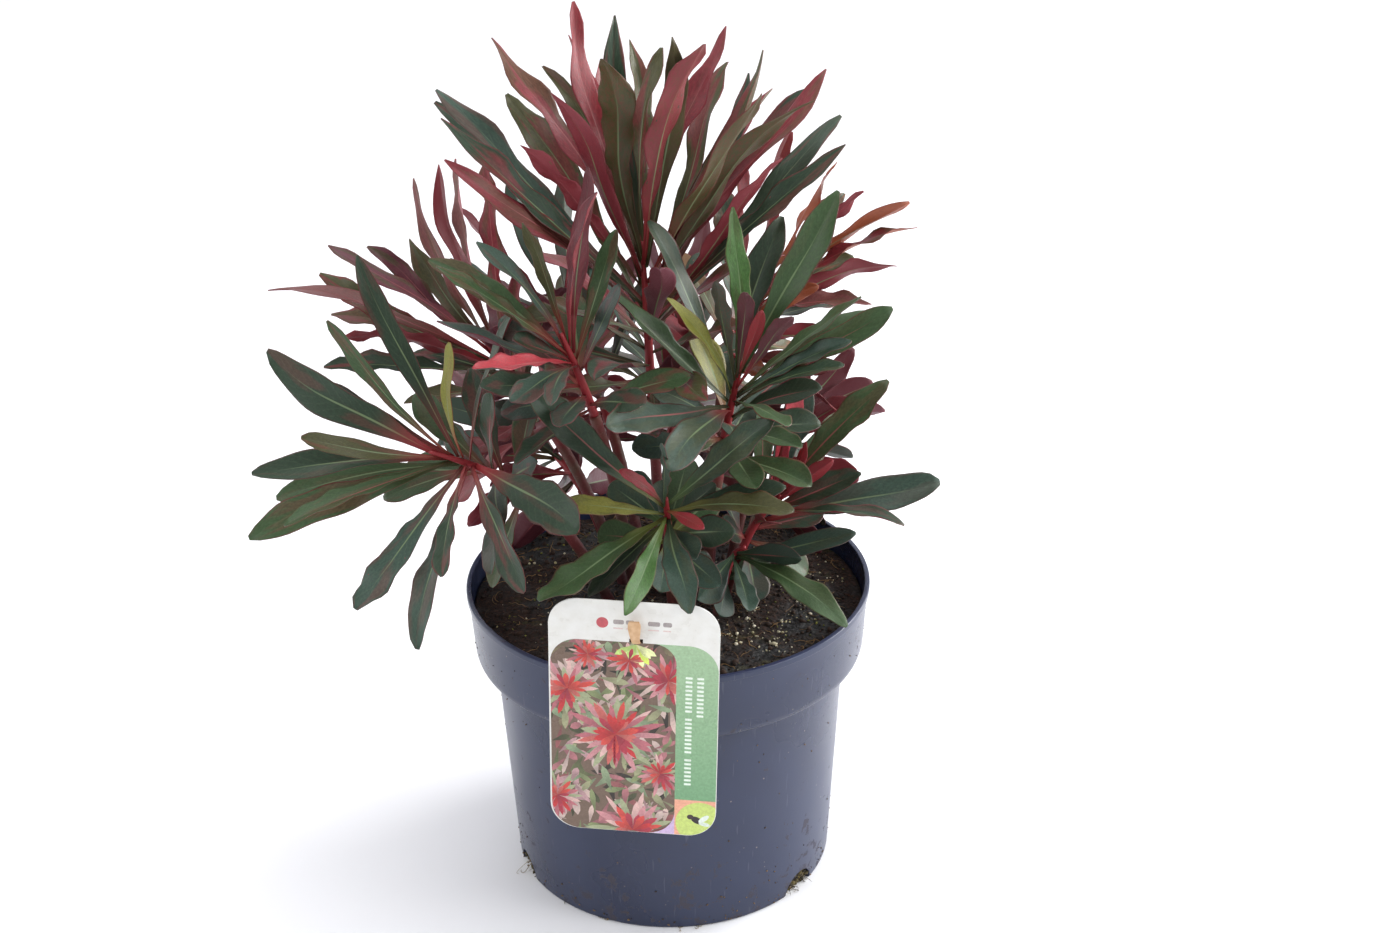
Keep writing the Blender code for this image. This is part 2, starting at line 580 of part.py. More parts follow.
class Shoot:
    """One shoot: its path, its stem and the leafy tip that its leaves are grown from."""

    def __init__(self, name, foot, tip, direction, rows):
        self.name = name
        self.path = shoot_path(foot, tip, direction)
        length = sum((b - a).length for a, b in zip(self.path, self.path[1:]))
        self.rows = min(rows, int((length - BUD_LENGTH - 4 * STEM_RADIUS) / ROW_HEIGHT))
        self.side = Vector((1, 0, 0)) if abs(direction.x) < 0.7 else Vector((0, 1, 0))
        self.tip, self.direction = tip, direction
        self.rings = []
        for row in range(self.rows + 2):  # row 0 is the youngest, just under the bud
            centre, along = point_below_tip(self.path, BUD_LENGTH + row * ROW_HEIGHT)
            share = min(1.0, row * ROW_HEIGHT / (14 * MM))
            radius = AXIS_TIP_RADIUS + (AXIS_RADIUS - AXIS_TIP_RADIUS) * share
            shift = (row % 2) / 2
            self.rings.append(ring_points(centre, along, self.side, radius, AXIS_SIDES, shift))
        self.used = {}

    def core_rings(self):
        """Rings inside the axis, which the shoot's own leaves may not reach."""
        rings = []
        for ring in self.rings:
            middle = sum(ring, Vector()) / AXIS_SIDES
            rings.append([middle.lerp(point, CORE_SHARE) for point in ring])
        return rings

    def stem_rings(self, margin=0.0):
        """Rings of the bare stem, from its foot in the soil up to the leafy tip."""
        leafy = BUD_LENGTH + (self.rows + 1) * ROW_HEIGHT + GAP
        length = sum((b - a).length for a, b in zip(self.path, self.path[1:]))
        count = max(2, round((length - leafy) / STEM_POINT_EVERY))
        rings = []
        foot = self.path[0]
        bottom = Vector((foot.x, foot.y, SOIL_TOP - STEM_DEPTH - margin))
        up = Vector((0, 0, 1))
        rings.append(ring_points(bottom, up, self.side, STEM_RADIUS + margin, STEM_SIDES, 0.5))
        for i in range(count + 1):
            centre, along = point_below_tip(self.path, length + (leafy - length) * i / count)
            if i == 0:
                along = up
            share = i / count
            radius = STEM_RADIUS + (AXIS_RADIUS - STEM_RADIUS) * share
            rings.append(ring_points(centre, along, self.side, radius + margin, STEM_SIDES, 0.5))
        return rings

    def cell_centre(self, row, column):
        _, right, _, left = diamond(self.rings, row, column)
        return (right + left) / 2

    def cell_outward(self, row, column):
        middle = sum(self.rings[row + 1], Vector()) / AXIS_SIDES
        return (self.cell_centre(row, column) - middle).normalized()

    def free_cells(self, rows):
        crowded = [row for row in rows if sum(cell[0] == row for cell in self.used) >= 2]
        cells = [(row, column) for row in rows for column in range(AXIS_SIDES)]
        return [cell for cell in cells if cell not in self.used and cell[0] not in crowded]

    def best_cell(self, wanted_row, direction, spread=3):
        """The free cell near a row that faces the leaf's direction best."""
        rows = range(max(0, wanted_row - spread), min(self.rows, wanted_row + spread + 1))
        cells = self.free_cells(rows)
        if not cells:
            return None

        def score(cell):
            facing = self.cell_outward(*cell).dot(direction)
            return facing - 0.1 * abs(cell[0] - wanted_row)

        return max(cells, key=score)

    def try_leaf(self, space, cell, tip, width, bend):
        """Grows the leaf from this cell if it stays clear of everything in place, and says whether."""
        base = self.cell_centre(*cell)
        along = (tip - base).normalized()
        if along.dot(self.cell_outward(*cell)) < -0.05:
            return False
        inward = self.direction * 0.9 - self.cell_outward(*cell) * 0.45
        inward = (inward - along * inward.dot(along)).normalized()
        inward += VIEW_TOWARDS * math.copysign(LEAF_SHOW, inward.dot(VIEW_TOWARDS))
        inward.rotate(Quaternion(along, math.radians(LEAF_ROLL * uneven(len(self.used), 0.618))))
        fat = leaf_rings(base, tip, inward, width, bend, LEAF_CLEARANCE, TEST_STATIONS)
        point = tip + along * LEAF_CLEARANCE
        whole, box = tree_of(fat, point)
        blade, _ = tree_of(fat[2:], point)
        if not space.is_clear(whole, blade, box, self.name):
            return False
        slim = leaf_rings(base, tip, inward, width, bend, 0.0, TEST_STATIONS)
        space.add(*tree_of(slim, tip), self.name)
        self.used[cell] = (leaf_rings(base, tip, inward, width, bend), tip)
        return True

    def grow(self, space, wanted_row, tip, width, bend):
        """Grows a leaf to this tip, or as near to it as there is room for."""
        reach = (tip - self.tip).length
        first = (tip - self.tip).normalized()
        side = first.orthogonal().normalized()
        other = first.cross(side)
        for shorter in (1.0, 0.88, 0.74):
            for swing in (0, 3, 6, 10, 14, 18):
                for turn in range(8 if swing else 1):
                    angle = math.radians(45 * turn + 20 * swing)
                    aside = side * math.cos(angle) + other * math.sin(angle)
                    direction = (first + aside * math.tan(math.radians(swing))).normalized()
                    target = self.tip + direction * reach * shorter
                    cell = self.best_cell(wanted_row, direction)
                    if cell and self.try_leaf(space, cell, target, width, bend):
                        return

    def leafy_mesh(self):
        """The axis with its leaves as one closed skin."""
        mesh_builder = bmesh.new()
        axis = [[mesh_builder.verts.new(point) for point in ring] for ring in self.rings]
        bud = mesh_builder.verts.new(self.tip)
        mesh_builder.faces.new(axis[-1])
        for column in range(AXIS_SIDES):
            after = (column + 1) % AXIS_SIDES
            mesh_builder.faces.new((axis[0][column], axis[0][after], bud))
            # Half diamonds close the first row and the last one.
            mesh_builder.faces.new((axis[0][column], axis[1][column], axis[0][after]))
            low_right = (column + self.rows % 2) % AXIS_SIDES
            low_left = (low_right - 1) % AXIS_SIDES
            mesh_builder.faces.new((axis[-2][column], axis[-1][low_left], axis[-1][low_right]))
        for row in range(self.rows):
            for column in range(AXIS_SIDES):
                ring = diamond(axis, row, column)
                if (row, column) not in self.used:
                    mesh_builder.faces.new(ring)
                    continue
                rings, tip = self.used[(row, column)]
                for points in rings:
                    following = [mesh_builder.verts.new(point) for point in points]
                    skin(mesh_builder, ring, following)
                    ring = following
                skin(mesh_builder, ring, [mesh_builder.verts.new(tip)])
        return mesh_builder


def place_shaping_leaves(shoot, data, space):
    """The leaves that give the shoot its shape; those nearest its heading are the youngest."""
    found = []
    for clock, lean, reach, width in data["leaves"]:
        direction = heading(clock, lean)
        tip = shoot.tip + direction * (reach * MM / math.cos(math.radians(lean)))
        found.append((shoot.direction.angle(direction), tip, width * MM))
    found.sort(key=lambda leaf: leaf[0])
    for index, (_, tip, width) in enumerate(found):
        wanted = min(round(index * ROWS_PER_SHAPING_LEAF), shoot.rows - 1)
        shoot.grow(space, wanted, tip, width, LEAF_BEND * (1 + uneven(index, 0.755)))


def place_filling_leaves(shoot, length, space):
    """Leaves on the rows still bare, opening wider and growing longer with age."""
    side = (shoot.side - shoot.direction * shoot.side.dot(shoot.direction)).normalized()
    other = shoot.direction.cross(side)
    for row in range(shoot.rows):
        if any(cell[0] == row for cell in shoot.used):
            continue
        age = row / max(1, shoot.rows - 1)
        opening = math.radians(YOUNG_OPENING + (OLD_OPENING - YOUNG_OPENING) * age**0.8)
        turn = GOLDEN_ANGLE * row
        outward = side * math.cos(turn) + other * math.sin(turn)
        direction = shoot.direction * math.cos(opening) + outward * math.sin(opening)
        reach = length * (0.4 + 0.6 * min(1.0, 2.2 * age))
        width = FILL_LEAF_WIDTH * (0.65 + 0.45 * min(1.0, 2 * age))
        base, _ = point_below_tip(shoot.path, BUD_LENGTH + row * ROW_HEIGHT)
        shoot.grow(space, row, base + direction * reach, width, LEAF_BEND * (1 + uneven(row, 0.755)))


def place_leaves(shoots, neighbours):
    """All shaping leaves come first, and the filling leaves take the room that is left."""
    space = Space()
    for made in neighbours:
        space.add_object(made)
    for shoot in shoots:
        space.add(*tree_of(shoot.stem_rings()[1:]), shoot.name)
        axis, box = tree_of(shoot.rings)
        space.add(axis, box, shoot.name, tree_of(shoot.core_rings())[0])
    for shoot in shoots:
        place_shaping_leaves(shoot, SHOOTS[shoot.name], space)
    for shoot in shoots:
        place_filling_leaves(shoot, SHOOTS[shoot.name]["fill"] * MM, space)


def stem_mesh(shoot):
    mesh_builder = bmesh.new()
    tube(mesh_builder, shoot.stem_rings())
    return mesh_builder


def main():
    for item in list(bpy.data.objects):
        bpy.data.objects.remove(item, do_unlink=True)
    feet = [Vector((data["foot"][0] * MM, data["foot"][1] * MM, SOIL_TOP)) for data in SHOOTS.values()]
    shoots = []
    for foot, (name, data) in zip(feet, SHOOTS.items()):
        x, y, height = data["tip"]
        tip = Vector((x * MM, y * MM, SOIL_TOP + height * MM))
        shoots.append(Shoot(name, foot, tip, heading(*data["heading"]), data["rows"]))
    label_frame = make_label()
    pot = make_pot()
    soil = make_soil(shoots, label_frame)
    bpy.context.view_layer.update()
    label = [bpy.data.objects[name] for name in ("label_card", "label_stake")]
    place_leaves(shoots, [pot, soil, *label])
    bark = material("bark", (84, 28, 38), 0.5)
    leaf = material("leaf", (66, 92, 74), 0.5)
    for shoot in shoots:
        add_object("stem_" + shoot.name, stem_mesh(shoot), bark)
        add_object("leafy_tip_" + shoot.name, shoot.leafy_mesh(), leaf)


main()
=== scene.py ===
"""Potted euphorbia: the fine surfaces and materials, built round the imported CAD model.

Leaves and stems are read from the frame and remade with a finer shape in the same place. The pot,
the soil, the label card and its stake are remade from the pot's box in the frame and from the
sizes below.
"""

import math
import random
from collections import namedtuple

import bmesh
import bpy
from mathutils import Matrix, Vector, noise


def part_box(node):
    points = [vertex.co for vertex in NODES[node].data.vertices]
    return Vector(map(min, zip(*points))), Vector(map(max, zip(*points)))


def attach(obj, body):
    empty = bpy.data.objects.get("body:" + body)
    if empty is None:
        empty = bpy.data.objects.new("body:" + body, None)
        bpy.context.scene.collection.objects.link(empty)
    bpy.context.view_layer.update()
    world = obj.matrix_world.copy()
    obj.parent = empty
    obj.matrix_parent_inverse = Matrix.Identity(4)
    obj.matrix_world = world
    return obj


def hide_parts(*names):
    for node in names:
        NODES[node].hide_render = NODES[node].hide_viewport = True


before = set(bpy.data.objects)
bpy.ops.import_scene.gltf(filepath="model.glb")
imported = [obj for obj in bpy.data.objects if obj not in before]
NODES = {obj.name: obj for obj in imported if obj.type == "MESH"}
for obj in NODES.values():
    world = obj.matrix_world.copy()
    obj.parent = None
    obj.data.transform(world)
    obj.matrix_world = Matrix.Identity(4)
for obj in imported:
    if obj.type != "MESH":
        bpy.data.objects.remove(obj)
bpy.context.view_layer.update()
MM = 0.001

# The camera: where it stands and how it is turned, and its field of view.
CAMERA_PLACE = Vector((0, -0.9, 0.6424))
CAMERA_PITCH = math.radians(25.98)
CAMERA_YAW = math.radians(1.008)
CAMERA_ROLL = math.radians(-0.871)
CAMERA_LENS = 55.87

# The view that leaf bearings are counted in: from the front and 26 degrees above.
VIEW_TILT = math.radians(26)
VIEW_UP = Vector((0, math.sin(VIEW_TILT), math.cos(VIEW_TILT)))
VIEW_TOWARDS = Vector((0, -math.cos(VIEW_TILT), math.sin(VIEW_TILT)))

# Leaf detail
LEAF_ROWS = 20
LEAF_ACROSS = (-1, -0.86, -0.55, -0.2, -0.07, 0.07, 0.2, 0.55, 0.86, 1)
LEAF_EDGE_THICKNESS = 0.22 * MM
LEAF_MIDRIB_THICKNESS = 0.5 * MM
PETIOLE_SHARE = 0.13
EVEN_LENGTH = 65 * MM  # leaves shorter than this have a more even shape
CRIMSON_LENGTH, CRIMSON_REACH = 45 * MM, 11.2 * MM  # leaves shorter and nearer the bud are crimson
CAD_WIDTH_SHARE = 0.936  # of the full width, at the CAD leaf's third station


def srgb(red, green, blue):
    """A linear colour from an sRGB one of 0 to 255 a channel."""
    return tuple(((channel / 255 + 0.055) / 1.055) ** 2.4 for channel in (red, green, blue))


def around(turn, radius=1.0, height=0.0):
    """The point at an angle about Z, at a radius and height."""
    return Vector((radius * math.cos(turn), radius * math.sin(turn), height))


# ---------------------------------------------------------------- camera, lights and stage

def make_camera():
    """The photo's camera, fitted to the pot's rim, collar and foot."""
    forward = Vector((math.sin(CAMERA_YAW) * math.cos(CAMERA_PITCH),
                      math.cos(CAMERA_YAW) * math.cos(CAMERA_PITCH), -math.sin(CAMERA_PITCH)))
    right = forward.cross(Vector((0, 0, 1))).normalized()
    up = right.cross(forward)
    side = right * math.cos(CAMERA_ROLL) + up * math.sin(CAMERA_ROLL)
    top = up * math.cos(CAMERA_ROLL) - right * math.sin(CAMERA_ROLL)
    data = bpy.data.cameras.new("camera")
    data.lens = CAMERA_LENS
    data.sensor_width = 36
    camera = bpy.data.objects.new("camera", data)
    bpy.context.scene.collection.objects.link(camera)
    turn = Matrix((side, top, -forward)).transposed().to_4x4()
    camera.matrix_world = Matrix.Translation(CAMERA_PLACE) @ turn
    bpy.context.scene.camera = camera


def area_light(name, place, target, size, power):
    data = bpy.data.lights.new(name, "AREA")
    data.shape = "DISK"
    data.size = size
    data.energy = power
    light = bpy.data.objects.new(name, data)
    bpy.context.scene.collection.objects.link(light)
    light.location = place
    light.rotation_euler = (Vector(target) - Vector(place)).to_track_quat("-Z", "Y").to_euler()


def make_stage():
    """A pale sweep of floor and backdrop, and soft light from both sides."""
    bm = bmesh.new()
    bend = [math.pi / 2 * i / 12 for i in range(13)]
    curve = [(1.2 + 0.9 * math.sin(turn), 0.9 - 0.9 * math.cos(turn)) for turn in bend]
    profile = [(-3.0, 0), *curve, (2.1, 3.2)]
    rows = [[bm.verts.new((x, y, z)) for x in (-4, 4)] for y, z in profile]
    for first, second in zip(rows, rows[1:]):
        bm.faces.new((first[0], first[1], second[1], second[0]))
    sweep = object_from("studio_sweep", bm)
    look = bpy.data.materials.new("studio_paper")
    look.use_nodes = True
    shader = look.node_tree.nodes["Principled BSDF"]
    shader.inputs["Base Color"].default_value = (0.86, 0.865, 0.89, 1)
    shader.inputs["Roughness"].default_value = 0.9
    sweep.data.materials.append(look)
    area_light("left_softbox", (-1.1, -0.7, 0.9), (0, 0, 0.2), 0.7, 6.5)
    area_light("right_softbox", (1.1, -0.5, 0.8), (0, 0, 0.2), 0.7, 8)
    area_light("top_softbox", (0.1, 0.1, 1.6), (0, 0, 0.2), 1.0, 7)
    area_light("left_back_softbox", (-1.2, 0.55, 0.6), (0, 0, 0.15), 0.6, 4)
    area_light("right_back_softbox", (1.2, 0.45, 0.6), (0, 0, 0.15), 0.9, 24)
    area_light("backdrop_light", (0, 0.9, 2.2), (0, 2.1, 1.0), 1.2, 16)
    world = bpy.data.worlds.new("studio")
    bpy.context.scene.world = world
    world.use_nodes = True
    background = world.node_tree.nodes["Background"]
    background.inputs["Color"].default_value = (0.98, 0.98, 1, 1)
    background.inputs["Strength"].default_value = 0.54
    bpy.context.scene.view_settings.view_transform = "Standard"


# ---------------------------------------------------------------- meshes

def object_from(name, bm, look=None, smooth=True):
    mesh = bpy.data.meshes.new(name)
    bm.to_mesh(mesh)
    bm.free()
    if smooth:
        mesh.shade_smooth()
    made = bpy.data.objects.new(name, mesh)
    bpy.context.scene.collection.objects.link(made)
    if look:
        mesh.materials.append(look)
    return made


def piece(name, bm, look, slot, *nodes, smooth=True):
    """A finished piece: it rides on the root and stands for its CAD nodes; its slot is not used."""
    made = object_from(name, bm, look, smooth)
    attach(made, "root")
    if nodes:
        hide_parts(*nodes)
    return made


def bridge(bm, first, second):
    """Quads between two closed rings of as many vertices, or triangles to a single vertex."""
    count = max(len(first), len(second))
    for i in range(count):
        after = (i + 1) % count
        if len(second) == 1:
            bm.faces.new((first[i], first[after], second[0]))
        elif len(first) == 1:
            bm.faces.new((first[0], second[after], second[i]))
        else:
            bm.faces.new((first[i], first[after], second[after], second[i]))


def skin(bm, rings, outward=1):
    """Joins closed rings into one capped skin; outward is -1 where the rings run the other way."""
    for first, second in zip(rings, rings[1:]):
        bridge(bm, *(first, second)[::outward])
    bm.faces.new(rings[0][::-outward])
    bm.faces.new(rings[-1][::outward])


def welded(node):
    """A CAD node's mesh with its doubled vertices joined."""
    bm = bmesh.new()
    bm.from_mesh(NODES[node].data)
    bmesh.ops.remove_doubles(bm, verts=bm.verts, dist=0.001 * MM)
    return bm


def neighbours(verts, known):
    """The vertices joined to these that aren't known yet."""
    return {edge.other_vert(vert) for vert in verts for edge in vert.link_edges} - known


# ---------------------------------------------------------------- reading the CAD plant

class Leaf:
    """One leaf as the CAD has it: base, point, upper side, width and arch."""

    def __init__(self, rings, tip):
        self.tip = tip.co.copy()
        self.base = mean(vert.co for vert in rings[3])
        _, over_3, wide_3 = self.section(rings[0])
        middle_2, _, _ = self.section(rings[1])
        self.width = wide_3 / CAD_WIDTH_SHARE
        self.length = (self.tip - self.base).length
        self.along = (self.tip - self.base) / self.length
        self.over = (over_3 - self.along * over_3.dot(self.along)).normalized()
        rise = (middle_2 - self.base.lerp(self.tip, 0.45)).dot(self.over)
        self.arch = rise / (4 * 0.45 * 0.55)

    @staticmethod
    def section(ring):
        """The midrib, the upward direction and the width of one ring of four."""
        points = [vert.co for vert in ring]
        pairs = [(a, b) for i, a in enumerate(points) for b in points[i + 1:]]
        thin = min(pairs, key=lambda pair: (pair[0] - pair[1]).length)
        edges = [point for point in points if point is not thin[0] and point is not thin[1]]
        middle = (thin[0] + thin[1]) / 2
        over = (thin[0] - thin[1]).normalized()
        if over.dot((edges[0] + edges[1]) / 2 - middle) < 0:
            over = -over
        return middle, over, (edges[0] - edges[1]).length


def mean(points):
    points = list(points)
    return sum(points, Vector()) / len(points)


def read_leafy_tip(node):
    """The leaves of a leafy tip, and the points of the rest of it: its axis and bud."""
    bm = welded(node)
    leaves = []
    used = set()
    for tip in bm.verts:
        ring = neighbours([tip], {tip})
        if len(ring) != 4:
            continue
        middle = mean(vert.co for vert in ring)
        out = (tip.co - middle).normalized()
        if any((tip.co - vert.co).normalized().dot(out) < 0.3 for vert in ring):
            continue
        known = {tip} | ring
        rings = [ring]
        while len(rings) < 4 and len(rings[-1]) == 4:
            rings.append(neighbours(rings[-1], known))
            known |= rings[-1]
        if [len(found) for found in rings] != [4, 4, 4, 4]:
            continue
        leaves.append(Leaf(rings, tip))
        used |= {tip} | rings[0] | rings[1] | rings[2]
    axis = [vert.co.copy() for vert in bm.verts if vert not in used]
    bm.free()
    return leaves, axis


def centre_line(points, foot):
    """The bud's tip, and the middle of the axis at steps from its foot up."""
    bud = max(points, key=lambda point: (point - foot).length)
    along = (bud - foot).normalized()
    length = (bud - foot).length
    count = max(4, round(length / (7 * MM)))
    line = []
    for i in range(count):
        near = [p for p in points if i <= (p - foot).dot(along) / length * count < i + 1 and p is not bud]
        if near:
            line.append(mean(near))
    return bud, line


def read_stem(node):
    """The rings' centres and radii of a bare stem, from its foot up."""
    bm = welded(node)
    floor = min(vert.co.z for vert in bm.verts)
    ring = {vert for vert in bm.verts if vert.co.z < floor + 0.01 * MM}
    known = set(ring)
    line = []
    while ring:
        centre = mean(vert.co for vert in ring)
        line.append((centre, mean(Vector(((vert.co - centre).length, 0, 0)) for vert in ring).x))
        ring = neighbours(ring, known)
        known |= ring
    bm.free()
    return line


# ---------------------------------------------------------------- materials

class Look:
    """A node material under construction, with short names for the nodes it is built from."""

    def __init__(self, name, roughness=0.5):
        self.material = bpy.data.materials.new(name)
        self.material.use_nodes = True
        self.tree = self.material.node_tree
        self.shader = self.tree.nodes["Principled BSDF"]
        self.shader.inputs["Roughness"].default_value = roughness

    def put(self, value, socket):
        if isinstance(value, bpy.types.NodeSocket):
            self.tree.links.new(value, socket)
        elif isinstance(value, tuple) and len(value) == 3 and socket.type == "RGBA":
            socket.default_value = (*value, 1)
        else:
            socket.default_value = value

    def node(self, kind, inputs, output=0, **settings):
        """Adds a node with these inputs and settings, and returns one of its outputs."""
        made = self.tree.nodes.new("ShaderNode" + kind)
        for name, value in settings.items():
            setattr(made, name, value)
        for socket, value in inputs.items():
            self.put(value, made.inputs[socket])
        return made.outputs[output]

    def attribute(self, name, kind="Fac"):
        return self.node("Attribute", {}, kind, attribute_name=name)

    def math(self, operation, first, second=0.0, clamp=False):
        return self.node("Math", {0: first, 1: second}, operation=operation, use_clamp=clamp)

    def times(self, first, second):
        return self.math("MULTIPLY", first, second)

    def plus(self, first, second):
        return self.math("ADD", first, second)

    def mix(self, factor, first, second, blend="MIX"):
        inputs = {0: factor, 6: first, 7: second}
        return self.node("Mix", inputs, 2, data_type="RGBA", blend_type=blend)

    def ramp(self, value, low, high, to_low=0.0, to_high=1.0):
        """Maps low..high smoothly to to_low..to_high."""
        inputs = {"Value": value, "From Min": low, "From Max": high, "To Min": to_low, "To Max": to_high}
        return self.node("MapRange", inputs, interpolation_type="SMOOTHSTEP")

    def shaded(self, colour, shade):
        """A colour multiplied by a grey."""
        return self.mix(1.0, colour, self.combine(shade, shade, shade), "MULTIPLY")

    def combine(self, x, y, z):
        return self.node("CombineXYZ", {0: x, 1: y, 2: z})

    def place(self):
        """Object coordinates, in metres."""
        return self.node("TexCoord", {}, "Object")

    def noise(self, scale, where=None, detail=3.0, roughness=0.55):
        inputs = {"Scale": scale, "Detail": detail, "Roughness": roughness}
        return self.node("TexNoise", {"Vector": where or self.place(), **inputs}, "Fac")

    def voronoi(self, scale, where):
        return self.node("TexVoronoi", {"Vector": where, "Scale": scale}, "Distance")

    def surface(self, colour, roughness, relief, depth, strength):
        """Connects the colour, the roughness and a bump of the relief, and returns the material."""
        bump = self.node("Bump", {"Height": relief, "Distance": depth, "Strength": strength})
        for name, value in (("Base Color", colour), ("Roughness", roughness), ("Normal", bump)):
            self.put(value, self.shader.inputs[name])
        return self.material


def leaf_look():
    """Green above and rosy below, with a pale midrib, faint side veins and a thin red margin."""
    look = Look("euphorbia_leaf", 0.5)
    along, across = look.attribute("along"), look.attribute("across")
    seed, under = look.attribute("seed"), look.attribute("under")
    away = look.math("ABSOLUTE", across)
    where = look.combine(look.times(across, 0.7), look.times(along, 4.5), look.times(seed, 31.0))
    zones = look.combine(look.times(across, 0.8), look.times(along, 1.7), look.times(seed, 57.0))
    patches = look.noise(1.5, zones, 2.0)
    mottle = look.noise(12.0, where, 5.0, 0.65)
    flush = look.ramp(patches, 0.48, 0.6)
    flush = look.math("MULTIPLY", flush, look.attribute("flush_share"), clamp=True)
    upper = look.mix(flush, look.attribute("upper", "Color"), look.attribute("flush", "Color"))
    lower_patch = look.times(look.ramp(mottle, 0.35, 0.75), 0.45)
    lower = look.mix(lower_patch, look.attribute("lower", "Color"), look.attribute("lower_2", "Color"))
    # Side veins leave the midrib at a slant.
    slant = look.math("SUBTRACT", look.times(along, 95.0), look.times(away, 15.0))
    slant = look.plus(slant, look.times(mottle, 5.0))
    veins = look.ramp(look.math("SINE", slant), 0.72, 1.0)
    upper = look.mix(look.times(veins, 0.03), upper, srgb(140, 158, 120))
    lower = look.mix(look.times(veins, 0.05), lower, srgb(96, 40, 52))
    shade = look.ramp(mottle, 0.3, 0.7, 0.76, 1.2)
    upper = look.shaded(upper, shade)
    both = look.mix(look.ramp(under, 0.3, 0.7), upper, lower)
    rib_width = look.ramp(along, 0.1, 0.9, 0.15, 0.03)
    rib = look.ramp(away, rib_width, look.times(rib_width, 0.35))
    rib = look.times(rib, look.ramp(along, 0.95, 0.5))
    both = look.mix(look.times(rib, 0.75), both, look.attribute("rib", "Color"))
    margin = look.times(look.ramp(away, 0.88, 0.99), look.attribute("margin_share"))
    both = look.mix(margin, both, srgb(112, 26, 40))
    petiole = look.times(look.ramp(along, 0.42, 0.05), look.attribute("petiole_share"))
    both = look.mix(petiole, both, look.attribute("petiole", "Color"))
    look.shader.inputs["Specular IOR Level"].default_value = 0.42
    relief = look.plus(look.times(veins, -0.2), look.times(mottle, 0.6))
    return look.surface(both, look.ramp(mottle, 0.2, 0.8, 0.4, 0.58), relief, 0.25 * MM, 0.55)


def stem_look():
    """Dark red bark, greyer near the soil."""
    look = Look("euphorbia_stem", 0.5)
    grain = look.noise(900.0, None, 4.0)
    broad = look.noise(60.0, None, 2.0)
    young = look.attribute("along")
    bark = look.mix(look.ramp(broad, 0.35, 0.65), srgb(74, 30, 35), srgb(56, 32, 32))
    green = look.mix(look.ramp(broad, 0.4, 0.7), srgb(124, 44, 46), srgb(96, 70, 48))
    mixed = look.mix(look.ramp(young, 0.15, 1.0), bark, green)
    mixed = look.mix(look.times(look.ramp(grain, 0.55, 0.75), 0.35), mixed, srgb(150, 110, 100))
    return look.surface(mixed, look.ramp(grain, 0.3, 0.7, 0.42, 0.65), grain, 0.3 * MM, 0.5)


# ---------------------------------------------------------------- leaf colours

DARK, BLUE_GREEN, GREEN = srgb(40, 60, 42), srgb(52, 74, 62), srgb(56, 80, 46)
BRIGHT, YELLOW_GREEN, OLIVE = srgb(86, 114, 58), srgb(124, 124, 52), srgb(70, 70, 38)
FRESH = srgb(68, 104, 50)
ROSE, DUSTY, MAUVE = srgb(122, 42, 50), srgb(112, 60, 58), srgb(96, 46, 56)
CRIMSON, BURGUNDY, ORANGE = srgb(152, 42, 52), srgb(88, 34, 42), srgb(152, 80, 50)
GREY_GREEN, SAGE = srgb(54, 72, 60), srgb(76, 90, 66)
RIB_GREEN, RIB_PINK = srgb(120, 140, 100), srgb(158, 88, 88)
RED_FOOT, RED_LEAF, AXIS_RED = srgb(152, 38, 46), srgb(128, 38, 46), srgb(146, 42, 48)

# The usual colours of a shoot's leaves: upper sides, undersides, flush, how much of it and leaf feet.
Palette = namedtuple("Palette", "upper lower flush share feet")
PALETTES = {
    "top": Palette((DARK, ROSE, OLIVE, BLUE_GREEN, ROSE, OLIVE), (ROSE, BURGUNDY, MAUVE, ROSE, OLIVE),
                   ROSE, 0.6, (RED_FOOT, OLIVE, OLIVE)),
    "left_mid": Palette((DARK, GREEN, BLUE_GREEN), (ROSE, MAUVE, GREY_GREEN), ROSE, 0.32, (RED_FOOT,)),
    "left_back": Palette((DUSTY, ROSE, OLIVE, MAUVE), (DUSTY, ROSE, MAUVE), ROSE, 0.6, (RED_FOOT, OLIVE)),
    "left_low": Palette((DARK, BLUE_GREEN, GREEN, DARK), (ROSE, GREY_GREEN, ROSE, CRIMSON),
                        ROSE, 0.34, (RED_FOOT, RED_FOOT, OLIVE)),
    "right": Palette((GREEN, DARK, GREEN, BLUE_GREEN), (ROSE, GREY_GREEN, MAUVE, GREY_GREEN),
                     OLIVE, 0.4, (RED_FOOT, OLIVE, GREEN)),
    "front": Palette((DARK, GREEN, BLUE_GREEN), (GREY_GREEN, SAGE, GREY_GREEN),
                     OLIVE, 0.3, (BRIGHT, YELLOW_GREEN, GREEN)),
    "right_low": Palette((BLUE_GREEN, GREEN, DARK), (ROSE, GREY_GREEN), ROSE, 0.25, (RED_FOOT,)),
    "lowest": Palette((DARK, GREEN, BLUE_GREEN), (GREY_GREEN, SAGE), OLIVE, 0.2, (GREEN, SAGE)),
    "back_right": Palette((ROSE, OLIVE, DARK, DUSTY), (ROSE, ORANGE, DUSTY),
                          ORANGE, 0.5, (RED_FOOT, OLIVE)),
}
BACK_PALETTE = Palette((DARK, BLUE_GREEN, OLIVE, DARK), (ROSE, GREY_GREEN, MAUVE, BURGUNDY),
                       BURGUNDY, 0.4, (RED_FOOT, OLIVE))

